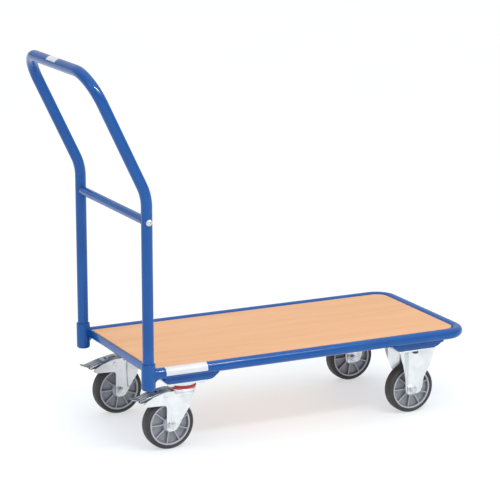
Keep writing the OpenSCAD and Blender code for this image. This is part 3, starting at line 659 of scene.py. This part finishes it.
def bearer(name, x, lips):
    """Pressed pan under the deck: rounded bends, sloped walls and flat lips, coped to the rails."""
    bottom_half, flare, end_y, end_flare, lip = 57, 1.02, 199, 0.3, 14
    half_length, bend, drawn_t, past_socket = 204, 3.5, 2.6, 18
    wall_h = BOARD_LOW.z - BEARER_Z - PAN_T
    wall_out = bottom_half + wall_h * flare
    lip_y = RAIL_Y - RAIL_R - 2
    left_end = wall_out + (lip if -1 in lips else 0)
    right_end = wall_out + (lip if 1 in lips else 0)
    rows = []
    for dx in steps(-left_end, right_end, 92):
        row = []
        for dy in steps(-half_length, half_length, 170):
            slope = min(wall_h, (abs(dx) - bottom_half) / flare)
            end = (abs(dy) - end_y) / end_flare
            lift = min(wall_h, soft_max(soft_max(0, slope, bend), end, bend))
            z = BEARER_Z + max(0.0, lift - 0.2)
            limit = rail_gap_y(z + 1.5) if z > RAIL_Z - RAIL_R - 1 else RAIL_Y
            limit = lip_y if abs(dx) > wall_out + 4 else limit
            y = max(-limit, min(limit, dy))
            row.append((x + dx, y, z))
        rows.append(row)
    if lips == [1]:
        rows = [[(max(p[0], past_socket), p[1], p[2]) for p in row] for row in rows]
    made = piece(f"{name}_pan", [grid(rows)], "blue_paint", "root", [name], crease=60)
    upwards = made.modifiers.new("sheet", "SOLIDIFY")
    upwards.thickness = -drawn_t * MM
    upwards.offset = -1


def weld(name, path, radius, loop=False):
    """A painted weld bead with a fine ripple."""
    def rippled(i):
        return radius * (1 + 0.1 * math.sin(i * 2.1))
    piece(name, [swept(path, rippled, count=10, loop=loop)], "blue_paint", "root", crease=80)


def welds():
    """Beads where rails meet sockets, the angle bar meets rails and the pans meet rails."""
    half_pan = 69
    for name, s in SIDES.items():
        ring = []
        for a in steps(0, 2 * math.pi, 96)[:-1]:
            dy = RAIL_R * math.cos(a)
            ring.append((math.sqrt(SOCKET_R ** 2 - dy ** 2) + 0.3, s * (RAIL_Y + dy * 1.01),
                         RAIL_Z + (RAIL_R + 0.3) * math.sin(a)))
        weld(f"weld_socket_{name}", ring, 1.7, True)
        low, high = span("rear_cross_rail")
        weld(f"weld_angle_{name}", [(low.x - 0.2, s * (rail_gap_y(z) - 0.6), z)
                                    for z in steps(low.z + 3, high.z - 1, 34)], 1.4)
        for end, x in (("rear", REAR_PAN_X), ("front", FIXED_X)):
            weld(f"weld_pan_{end}_{name}", [(x + dx, s * (RAIL_Y + 0.5), RAIL_Z - RAIL_R - 1.4)
                                            for dx in steps(-half_pan, half_pan, 120)], 3.4)


# ---------- deck ----------


def deck_board():
    """Board with rounded front corners and eased edges."""
    low, high = BOARD_LOW, BOARD_HIGH
    outline = rounded([(low.x, low.y, 2), (high.x, low.y, BOARD_CORNER),
                       (high.x, high.y, BOARD_CORNER), (low.x, high.y, 2)], count=20)
    piece("deck_panel", [extruded(outline, low.z, high.z, "z")], "beech_board", "root",
          ["deck_board"], bevel=0.7, crease=40)


# ---------- fasteners ----------

HEX_PAIR = 13
HEX_AXLE = 16


def hexagon(across, height, bore=0.0):
    """Profile function for a hexagon head or nut, its corners cut by the chamfer cone."""
    flat = across / 2
    cone = 0.95 * flat
    chamfer = math.tan(math.radians(28))

    def profile(a):
        corner = flat / math.cos((a + math.pi / 6) % (math.pi / 3) - math.pi / 6)
        drop = max(0.0, corner - cone) * chamfer
        return [(bore, 0), (corner - 0.1, 0), (corner, 0.2), (corner, height - drop),
                (cone, height), (bore, height)]
    return profile


def flipped(part, z):
    """Turns a part that stands on z = 0 upside down, so that it hangs from z."""
    verts, faces = part
    return [(p[0], -p[1], z - p[2]) for p in verts], faces


def washer_ring(bore, radius, edge, z=0):
    """A flat washer that stands on z, its top edge rounded by the given radius."""
    outline = [(bore, 0), (radius, 0, 0.3), (radius, WASHER_T, edge), (bore, WASHER_T)]
    return turned(rounded(outline), (0, 0, z))


def plate_bolt(plate_t):
    """Bolt, washer and nut that clamp a plate to the bearer; z = 0 is the plate's underside."""
    bore = BOLT_R + 0.02
    stack = plate_t + PAN_T
    head = flipped(turned(hexagon(HEX_PAIR, 5.3), count=48), 0)
    end = stack + 9.5
    shank = turned(rounded([(0, -1), (BOLT_R, -1), (BOLT_R, end, 0.8), (0, end)]), count=32)
    nut = turned(hexagon(HEX_PAIR, 6.5, bore), (0, 0, stack + WASHER_T), count=48)
    return [head, shank], [washer_ring(bore, 8, 0.3, stack), nut]


def caster_fasteners():
    """Four bolts at each caster plate, and an upside-down one at each fixed plate's outer edge."""
    bolts, nuts, edge_nuts = [], [], []
    for s in (-1, 1):
        for x, plate_t in ((KING_X, SWIVEL_PLATE_T), (FIXED_X, FIXED_PLATE_T)):
            bolt, nut = plate_bolt(plate_t)
            for dx in (-BOLT_DX, BOLT_DX):
                for dy in (-BOLT_DY, BOLT_DY):
                    at = (x + dx, s * WHEEL_Y + dy, BEARER_Z - plate_t)
                    bolts += [moved(part, at) for part in bolt]
                    nuts += [moved(part, at) for part in nut]
        at = (FIXED_X, s * (WHEEL_Y + MID_BOLT_DY), 0)
        bolts += [moved(flipped(part, BEARER_Z + PAN_T), at) for part in bolt]
        edge_nuts += [moved(flipped(part, BEARER_Z + PAN_T), at) for part in nut]
    piece("plate_bolts", bolts, "zinc_fastener", "root", ["caster_bolts"])
    piece("plate_nuts", nuts, "zinc_fastener", "root", ["caster_nuts"])
    made = piece("plate_edge_nuts", edge_nuts, "zinc_fastener", "root", ["caster_nuts"])
    # Painted shade: these nuts hang in the bearer's shadow, so they take the dark steel in place of
    # zinc.
    made.data.materials[0] = DARK_STEEL


def along_y(part, centre, out):
    """Turns a part that stands along Z to point out along +Y or -Y from a centre."""
    verts, faces = part
    x, y, z = centre
    return [(x + p[0], y + out * p[2], z + out * p[1]) for p in verts], faces


def axle_parts(x):
    """Axle bolt and nut with their washers, for the left wheel."""
    centre = (x, WHEEL_Y, WHEEL_R)
    bore = AXLE_R + 0.02
    washer = washer_ring(0, 9.5, 0.5)
    ring = washer_ring(bore, 9.5, 0.5)
    head = turned(hexagon(HEX_AXLE, 6.4), (0, 0, WASHER_T))
    nut = turned(hexagon(HEX_AXLE, 8, bore), (0, 0, WASHER_T))
    end = -2 * FORK_OUT - 11
    shank = turned(rounded([(0, end), (AXLE_R, end, 1), (AXLE_R, 1), (0, 1)]))
    bolt = [moved(along_y(part, centre, 1), (0, FORK_OUT, 0)) for part in (washer, head, shank)]
    nuts = [moved(along_y(part, centre, -1), (0, -FORK_OUT, 0)) for part in (ring, nut)]
    return bolt, nuts


def axles():
    """The two front axles share nodes; each rear axle rides on its caster."""
    bolt, nut = axle_parts(FIXED_X)
    for kind, made in (("bolts", bolt), ("nuts", nut)):
        both = made + [mirrored(part) for part in made]
        piece(f"axle_{kind}_front", both, "zinc_fastener", "root", [f"fixed_axle_{kind}"])
    bolt, nut = axle_parts(REAR_X)
    for name, s in SIDES.items():
        for kind, made in (("bolt", bolt), ("nut", nut)):
            piece(f"axle_{kind}_rear_{name}", made, "zinc_fastener", f"swivel_{name}",
                  [f"swivel_axle_{kind}_{name}"], s)


# ---------- wheels ----------


def other_face(half):
    """The outline of a wheel's other face, from the outline of one face."""
    return [(r, -h, *rest) for r, h, *rest in reversed(half)]


def hub_parts(x):
    """Turned rim, web and boss with drafted ribs on each face."""
    centre = (x, WHEEL_Y, WHEEL_R)
    seat_r = BEARING_R + 0.02
    seat_h = HUB_HALF - BEARING_W - 0.2
    half = [(10, seat_h), (seat_r, seat_h), (seat_r, HUB_HALF - 0.4, 0.3),
            (BOSS_R - 0.6, HUB_HALF, 0.6), (BOSS_R + 0.4, 13, 1), (BOSS_R + 1, WEB, 1.5),
            (46.6, WEB, 2), (47.6, RIM_HALF - 0.6, 0.6), (48.2, RIM_HALF, 0.5),
            (RIM_EDGE_R, RIM_HALF, 0.6), (RIM_EDGE_R, RIM_HALF - 3, 0.4),
            (RIM_R, RIM_HALF - 3.6, 0.6)]
    outline = rounded(half + other_face(half), count=4)
    rib_runs = ((BOSS_R - 1.5, 1.5), (BOSS_R + 3, 1.3), (30, 1), (40, 0.95), (47.8, 1.1))
    flank = [(-2.9, WEB - 1), (-2.3, WEB), (-1.8, WEB + 1.4), (-1.45, RIB_TOP - 0.6),
             (-0.9, RIB_TOP)]
    section = flank + [(-o, h) for o, h in reversed(flank)] + flank[:1]
    parts = [turned(outline, centre, "y", 108)]
    for i in range(RIBS):
        a = 2 * math.pi * (i + 0.5) / RIBS
        for face in (-1, 1):
            rows = []
            for r, wide in rib_runs:
                ring = []
                for o, h in section:
                    across = o * wide
                    ring.append((centre[0] + r * math.cos(a) - across * math.sin(a),
                                 centre[1] + face * h,
                                 centre[2] + r * math.sin(a) + across * math.cos(a)))
                rows.append(ring)
            verts, faces = grid(rows)
            count = len(section)
            last = count * (len(rib_runs) - 1)
            faces += [tuple(range(count - 1)), tuple(range(last + count - 2, last - 1, -1))]
            parts.append((verts, faces))
    return parts


def tyre_part(x):
    """Tyre with a crowned tread, soft shoulders, a moulding line and a bead at the rim."""
    bead_r, seat_r = RIM_EDGE_R + 0.05, RIM_R + 0.05
    half = [(bead_r, RIM_HALF - 0.6, 0.2), (54.2, RIM_HALF - 0.6, 0.5), (54.8, TYRE_HALF, 0.5),
            (55.8, TYRE_HALF, 0.5), (56.2, TYRE_HALF - 0.6, 0.4), (58.2, TYRE_HALF - 0.8, 3),
            (WHEEL_R - 0.7, TYRE_HALF - 4.2, 2.4), (WHEEL_R - 0.25, 8.6, 0.2),
            (WHEEL_R - 0.65, 8.2, 0.2), (WHEEL_R - 0.65, 7.6, 0.2), (WHEEL_R - 0.2, 7.2, 0.2),
            (WHEEL_R, 2)]
    inner = [(bead_r, -RIM_HALF + 3), (seat_r, -RIM_HALF + 3.6), (seat_r, RIM_HALF - 3.6),
             (bead_r, RIM_HALF - 3)]
    outline = rounded(half + other_face(half) + inner, count=6)
    return turned(outline, (x, WHEEL_Y, WHEEL_R), "y", 144)


def bearing_parts(x):
    """Two bearings: rings with eased edges, and a dished shield between them."""
    bore, shield_in, shield_out, w = BEARING_BORE + 0.04, 8.4, 11.4, BEARING_W
    half = [(bore, 0, 0.4), (shield_in, 0, 0.3), (shield_in, 0.9, 0.3), (shield_out, 0.7, 0.3),
            (shield_out, 0, 0.3), (BEARING_R, 0, 0.5)]
    outline = rounded(half + [(r, w - h, edge) for r, h, edge in reversed(half)], count=3)
    return [turned(outline, (x, WHEEL_Y + start, WHEEL_R), "y")
            for start in (-HUB_HALF, HUB_HALF - w)]


def wheels():
    """The four wheels, each with its hub, tyre and bearings on its own body."""
    for end, x in (("rear", REAR_X), ("front", FIXED_X)):
        for name, s in SIDES.items():
            tail = f"{end}_{name}"
            body = f"wheel_{tail}"
            piece(f"hub_{tail}", hub_parts(x), "hub_plastic", body, [f"wheel_hub_{tail}"], s,
                  crease=38)
            piece(f"tyre_ring_{tail}", [tyre_part(x)], "tyre_rubber", body, [f"tyre_{tail}"], s,
                  crease=50)
            piece(f"bearing_pair_{tail}", bearing_parts(x), "plain_steel", body,
                  [f"bearings_{tail}"], s)


# ---------- casters ----------


def at_wheel(parts):
    """Parts drawn about y = 0, moved to the left wheels' middle plane."""
    return [moved(part, (0, WHEEL_Y, 0)) for part in parts]


def fork_sheet(xs, low, top, reach, rows):
    """The two legs of a fork as pressed sheet: reach(x, z) is how far out the surface lies."""
    legs = []
    for s in (-1, 1):
        columns = [[(x, s * reach(x, z), z) for z in steps(low(x), top(x), rows)] for x in xs]
        legs.append(grid([column[::s] for column in columns]))
    return legs


def swivel_fork():
    """Fork of a swivel caster: pedal arms, legs with a pressed step, shoulders up to the crown."""
    arm_low = [(-2, 119.5), (1, 117), (8, 114.5), (52, 113), (56, 110.5), (57.4, 106)]
    leg_low = [(57.5, 53), (60, 49.4), (64, 47), (76, 47), (82, 50), (87, 57), (117, 102),
               (124, 127), (128.5, 138), (133, 145)]
    arm_top = [(-2, 120.5), (3, 126), (24, 137), (45, 143), (58, 145.6)]
    arm_end = 57.45
    bend_r = 7
    bend_z = BRIDGE_Z - bend_r
    bridge_x, bridge_end = 78, 129
    shoulder_z = 108
    step_in = 1.8

    def low(x):
        return line(arm_low if x < arm_end else leg_low, x)

    def top(x):
        return line(arm_top, x) if x < bridge_x else max(bend_z, low(x) + 0.1)

    def reach(x, z):
        crown = math.sqrt(max(0.0, (CROWN_R - 0.6) ** 2 - (x - KING_X) ** 2))
        rise = blend01((z - shoulder_z) / (BRIDGE_Z - shoulder_z))
        shoulder = max(0.0, crown - FORK_OUT) * rise
        if x <= bridge_x:
            shoulder = 0
        line_x = STEP_X + STEP_LEAN * (STEP_TOP - z)
        step = blend01((x - line_x) / 1.2) * between(z, STEP_LOW, STEP_TOP, 5)
        return FORK_OUT + shoulder - step_in * step

    xs = steps(-2, 57.4, 42) + steps(57.5, 86, 26) + steps(86.4, 94, 19) + steps(95, 130, 28)
    legs = fork_sheet(xs, low, top, reach, 44)
    bridge = []
    for x in [v for v in xs if bridge_x < v < bridge_end]:
        out = reach(x, bend_z)
        bend = [(out - bend_r + bend_r * math.cos(t), bend_z + bend_r * math.sin(t))
                for t in steps(0, math.pi / 2, 7)]
        bridge.append([(x, y, z) for y, z in bend] + [(x, -y, z) for y, z in reversed(bend)])
    return at_wheel([*legs, grid(bridge)])


def about_kingpin(outline):
    """An outline turned about the left kingpin."""
    return turned(rounded(outline), (KING_X, WHEEL_Y, 0), count=96)


def swivel_crown():
    """Turned crown on top of the fork, open round the kingpin."""
    low = BRIDGE_Z - 3.5
    return about_kingpin([(CROWN_BORE, low), (CROWN_R - 5, low, 1), (CROWN_R, low + 2, 2.2),
                          (CROWN_R, CROWN_Z, 1.6), (CROWN_BORE, CROWN_Z)])


def plate_outline(centre_x, corner):
    """A caster's top plate seen from above, with rounded corners."""
    a, b = PLATE_HALF
    outline = rounded([(-a, -b), (a, -b), (a, b), (-a, b)], corner, 8)
    return [(centre_x + x, WHEEL_Y + y) for x, y in outline]


def swivel_plate():
    """Top plate and the dome over the race."""
    low, bore, root_z = PLATE_LOW.z, CROWN_BORE - 0.05, SWIVEL_PLATE_Z + 0.4
    dome = [(bore, low), (RACE_R - 2, low, 1.5), (RACE_R, low + 2, 1.8),
            (RACE_R - 0.6, SWIVEL_PLATE_Z - 2.5, 2.5), (RACE_R + 4, root_z, 1), (bore, root_z)]
    plate = extruded(plate_outline(KING_X, 8), SWIVEL_PLATE_Z, BEARER_Z, "z")
    return [plate, about_kingpin(dome)]


def seal_ring():
    """Red seal ring under the race, with a rounded outer face."""
    low, high = span("seal_ring_left")
    bore, edge = 28.5, RACE_R - 1.6
    return about_kingpin([(bore, low.z), (edge, low.z, 0.6), (RACE_R, low.z + 2.2, 1.6),
                          (RACE_R, high.z - 2, 1.6), (edge, high.z, 0.6), (bore, high.z)])


def pedal_top(x):
    """Height of the pedal's upper face."""
    root_line = PEDAL_ROOT[1] + (x - PEDAL_ROOT[0]) * ROOT_SLOPE
    tread_line = PEDAL_TIP[1] + (x - PEDAL_TIP[0]) * TREAD_SLOPE
    return root_line + tread_line - soft_max(root_line, tread_line, 1.2)


def pedal_parts():
    """Pressed pedal: ridged tread, slot, hump, side flanges with pivot ears, lip and tongue."""
    tip_x, tip_z = PEDAL_TIP
    root_x = PEDAL_ROOT[0]
    foot = [(tip_x, 125.8), (20, 127), (47.6, 130), (63.2, 130), (root_x, 146)]
    bend = 3.0
    half = PEDAL_HALF
    high_above_slot = 140

    def relief(x, y):
        middles = (-RIDGE_STEP, 0, RIDGE_STEP)
        ridges = sum(between(y, m - 1.7, m + 1.7, 2.4) for m in middles) * between(x, -4, 25, 5)
        hump = between(x, 44, 62, 7) * between(y, -9.5, 9.5, 6)
        return 1.7 * ridges + 3.2 * hump

    def foot_z(x):
        off = x - PIVOT[0]
        if abs(off) >= EAR_R:
            return line(foot, x)
        return min(line(foot, x), PIVOT[1] - math.sqrt(EAR_R ** 2 - off ** 2))

    xs = steps(tip_x, 35, 40) + steps(36, 40.5, 4) + steps(41.5, root_x, 26)
    flat = steps(-(half - bend), half - bend, 44)
    corner = [(half - bend + bend * math.sin(t), bend * math.cos(t) - bend)
              for t in steps(0, math.pi / 2, 5)][1:]
    rows, flanges = [], []
    for x in xs:
        z = pedal_top(x)
        side = [(x, y, z + drop) for y, drop in corner]
        flanges.append([(x, half, h) for h in steps(z - bend, min(z - bend - 0.3, foot_z(x)), 6)])
        row = [(p[0], -p[1], p[2]) for p in reversed(side)]
        row += [(x, y, z + relief(x, y)) for y in flat]
        rows.append(row + side)
    verts, faces = grid(rows)
    slot = {i for i, p in enumerate(verts) if SLOT_X[0] < p[0] < SLOT_X[1]
            and abs(p[1]) < SLOT_HALF and p[2] > high_above_slot}
    faces = [tuple(reversed(f)) for f in faces if not all(i in slot for i in f)]
    lip = [[(tip_x - d, y, z) for y in steps(-(half - bend), half - bend, 10)]
           for d, z in ((0, tip_z), (0.9, 129.9), (1.2, 128.6), (1.2, 126.2))]
    tread = at_wheel([(verts, faces), grid(lip)])
    near = [[(x, -y, z) for x, y, z in row] for row in reversed(flanges)]
    sides = at_wheel(grid([row[::-1] for row in rows][::-1]) for rows in (flanges, near))
    end = rounded([(TONGUE_X, -12), (TONGUE_X, 12), (-27, 12, 5), (-27, -12, 5)])

    def tongue(drop):
        return [(x, y, 129.6 + (TONGUE_X - x) * TONGUE_SLOPE - drop) for x, y in end]
    return tread, sides, at_wheel([prism(tongue(0), tongue(PEDAL_T))])


def swivel_casters():
    """The two rear casters: the plate stays on the frame, the fork swivels, the pedal tilts."""
    fork = swivel_fork()
    tread, sides, tongue = pedal_parts()
    for name, s in SIDES.items():
        body = f"swivel_{name}"
        pedal = f"pedal_{name}"
        cad_pedal = [f"brake_pedal_{name}"]
        piece(f"fork_sheet_{name}", fork, "zinc_pressing", body, [f"swivel_fork_{name}"], s,
              sheet=FORK_T, bevel=0.5, crease=50)
        piece(f"fork_crown_{name}", [swivel_crown()], "zinc_pressing", body,
              [f"swivel_fork_{name}"], s)
        piece(f"race_housing_{name}", swivel_plate(), "zinc_pressing", "root",
              [f"swivel_plate_{name}"], s, bevel=0.6, crease=50)
        piece(f"seal_{name}", [seal_ring()], "red_seal", body, [f"seal_ring_{name}"], s)
        piece(f"pedal_tread_{name}", tread, "pedal_steel", pedal, cad_pedal, s,
              sheet=PEDAL_T, bevel=0.35, crease=50)
        made = piece(f"pedal_sides_{name}", sides, "pedal_steel", pedal, cad_pedal, s,
                     sheet=PEDAL_T, bevel=0.3, crease=50)
        made.data.materials[0] = DARK_STEEL
        piece(f"pedal_tongue_{name}", tongue, "pedal_steel", pedal, cad_pedal, s, bevel=0.6)
        softened(f"brake_shoe_{name}", 0.6)
        softened(f"pedal_rivet_{name}", 0.5)
        softened(f"king_pin_{name}", 0.3)


def fixed_fork():
    """Front fork: plate, and legs with a flat middle and wings that lean out to its edge."""
    top = FIXED_PLATE_Z + 1.5
    edge = [(0, 51), (12, 51), (15.5, 52.5), (19, 57), (22.5, 70), (24.5, 92), (33, 118),
            (43, 144), (50, top)]
    out = 41.8

    def reach(x, _z):
        d = abs(x - FIXED_X)
        lean = (out - FORK_OUT) * (d - WING_X) / WING_RUN
        wing = soft_max(0, lean, 0.8)
        return out - soft_max(0, out - FORK_OUT - wing, 1.6)

    half = steps(0.1, 11, 6) + steps(11.5, 17, 12) + steps(18, 33, 16)
    half += steps(33.5, 41, 12) + steps(42, 50, 8)
    xs = [FIXED_X - d for d in reversed(half)] + [FIXED_X + d for d in half]
    legs = fork_sheet(xs, lambda x: line(edge, abs(x - FIXED_X)), lambda x: top, reach, 40)
    return at_wheel(legs), [extruded(plate_outline(FIXED_X, 5), FIXED_PLATE_Z, BEARER_Z, "z")]


def fixed_casters():
    """The two front casters, each a bent sheet and its plate."""
    legs, plate = fixed_fork()
    for name, s in SIDES.items():
        node = f"fixed_fork_{name}"
        piece(f"fixed_legs_{name}", legs, "zinc_pressing", "root", [node], s,
              sheet=FORK_T, bevel=0.5, crease=50)
        piece(f"fixed_plate_{name}", plate, "zinc_pressing", "root", [node], s, bevel=0.6)


# ---------- push handle ----------


def lean_point(along, y):
    """A point on the leaning part, measured up its line from the lean corner."""
    return Vector((-along * math.sin(LEAN), y, LEAN_Z + along * math.cos(LEAN)))


def upright_path(s):
    """Centre line of one upright from its foot to the end of its grip corner."""
    y = s * RAIL_Y
    cut = LEAN_R * math.tan(LEAN / 2)
    ease = 30
    path = [Vector((0, y, z)) for z in (HANDLE_LOW.z, 400, LEAN_Z - cut - ease)]
    path += arc((-LEAN_R, y, LEAN_Z - cut), (1, 0, 0), (0, 0, 1), LEAN_R, 0, LEAN)
    path += [lean_point(along, y) for along in (cut + ease, LEAN_LEN - GRIP_R - ease)]
    up = Vector((-math.sin(LEAN), 0, math.cos(LEAN)))
    centre = lean_point(LEAN_LEN - GRIP_R, s * (RAIL_Y - GRIP_R))
    return path + arc(centre, (0, s, 0), up, GRIP_R, 0, math.pi / 2, 28)


def push_handle():
    """The whole bent tube in one sweep, open at both feet."""
    path = upright_path(-1) + list(reversed(upright_path(1)))
    tube = swept(path, HANDLE_R, TUBE_WALL, 56)
    piece("handle_tube", [tube], "blue_paint", "handle", ["push_handle"])


def on_upright(p):
    """Moves a point at the crossbar's left end onto the upright's wall."""
    return Vector((p.x, RAIL_Y - math.sqrt((HANDLE_R - 0.3) ** 2 - p.x ** 2), p.z))


def crossbar():
    """Tube with square ends, on dark rings that are shaped to the round uprights."""
    end = RAIL_Y - HANDLE_R - 0.2
    bar = swept([(0, -end, BAR_Z), (0, end, BAR_Z)], BAR_R, TUBE_WALL, 48)
    piece("crossbar_tube", [bar], "blue_paint", "handle", ["handle_crossbar"])
    ring_wall = 4
    ring = swept([(0, end - 0.1, BAR_Z), (0, end, BAR_Z)], BAR_R - 0.3, ring_wall, 48,
                 fit_end=on_upright)
    for name, s in SIDES.items():
        piece(f"crossbar_ring_{name}", [ring], "brake_block", "handle", side=s)
    softened("crossbar_screws", 0.35)


# ---------- floor, lights and camera ----------


def floor():
    """Wide white floor that glows a little from below, so that shadows stay light."""
    f = Finish("studio_floor", Specular_IOR_Level=0.1, Emission_Color=(1, 1, 1, 1),
               Emission_Strength=0.52)
    tone = f.ramp(f.noise(1.5, 2), [(0.3, srgb(184, 190, 193)), (0.7, srgb(187, 193, 196))])
    f.use(Base_Color=tone, Roughness=f.level(f.noise(3, 2), 0.6, 0.7))
    half = 40.0
    mesh = bpy.data.meshes.new("studio_floor")
    corners = [(-half, -half, 0), (half, -half, 0), (half, half, 0), (-half, half, 0)]
    mesh.from_pydata(corners, [], [(0, 1, 2, 3)])
    mesh.materials.append(f.material)
    made = bpy.data.objects.new("studio_floor", mesh)
    bpy.context.scene.collection.objects.link(made)


def softbox(name, at, target, size, power, gloss_only=False):
    """A rectangular light that the camera doesn't see; gloss_only shows in reflections alone."""
    data = bpy.data.lights.new(name, "AREA")
    data.shape = "RECTANGLE"
    data.size, data.size_y = size
    data.energy = power
    made = bpy.data.objects.new(name, data)
    made.location = at
    made.rotation_mode = "QUATERNION"
    made.rotation_quaternion = (Vector(target) - Vector(at)).to_track_quat("-Z", "Y")
    made.visible_camera = False
    made.visible_diffuse = not gloss_only
    bpy.context.scene.collection.objects.link(made)


def lights():
    """A sky that lights less near the horizon but shows white, two boxes and two strips."""
    horizon, zenith = 0.47, 1.2
    world = bpy.data.worlds.new("studio")
    world.use_nodes = True
    tree = world.node_tree
    place = tree.nodes.new("ShaderNodeTexCoord")
    split = tree.nodes.new("ShaderNodeSeparateXYZ")
    sky = tree.nodes.new("ShaderNodeMapRange")
    sky.inputs["To Min"].default_value = horizon
    sky.inputs["To Max"].default_value = zenith
    tree.links.new(place.outputs["Generated"], split.inputs[0])
    tree.links.new(split.outputs["Z"], sky.inputs["Value"])
    shown = tree.nodes.new("ShaderNodeMath")
    shown.operation = "MAXIMUM"
    tree.links.new(sky.outputs["Result"], shown.inputs[0])
    path = tree.nodes.new("ShaderNodeLightPath")
    tree.links.new(path.outputs["Is Camera Ray"], shown.inputs[1])
    tree.links.new(shown.outputs[0], tree.nodes["Background"].inputs["Strength"])
    tree.nodes["Background"].inputs["Color"].default_value = (0.99, 0.99, 1.0, 1.0)
    bpy.context.scene.world = world
    softbox("overhead", (-0.2, 0.2, 3.4), (0, 0, 0), (2.6, 2.6), 4)
    softbox("key_left", (-3.6, -2.0, 2.4), (0, 0, 0.3), (1.8, 1.8), 12)
    softbox("strip_front", (0.5, -1.8, 2.4), (0.3, -0.2, 0.2), (2.1, 0.3), 24)
    softbox("glint_strip", (0.22, -1.8, 2.5), (0.17, -0.2, 0.2), (1.9, 0.1), 60,
            gloss_only=True)


def camera():
    """Long lens at the height of a standing person, from behind the handle and to the right."""
    yaw, pitch = math.radians(26.09), math.radians(13.355)
    data = bpy.data.cameras.new("camera")
    data.sensor_width = 36
    data.lens = 156.7
    data.clip_end = 200
    made = bpy.data.objects.new("camera", data)
    made.location = (-2.295, -4.691, 1.661)
    level = Vector((math.sin(yaw), math.cos(yaw), 0)) * math.cos(pitch)
    forward = level - Vector((0, 0, math.sin(pitch)))
    made.rotation_mode = "QUATERNION"
    made.rotation_quaternion = forward.to_track_quat("-Z", "Y")
    bpy.context.scene.collection.objects.link(made)
    bpy.context.scene.camera = made
    bpy.context.scene.view_settings.view_transform = "Standard"


camera()
floor()
lights()
rim_rail()
sockets()
cross_rail()
bearer("rear_caster_bearer", REAR_PAN_X, [1])
bearer("front_caster_bearer", FIXED_X, [-1, 1])
softened("board_lugs", 0.4)
softened("board_screws", 0.3)
welds()
deck_board()
caster_fasteners()
axles()
wheels()
swivel_casters()
fixed_casters()
push_handle()
crossbar()
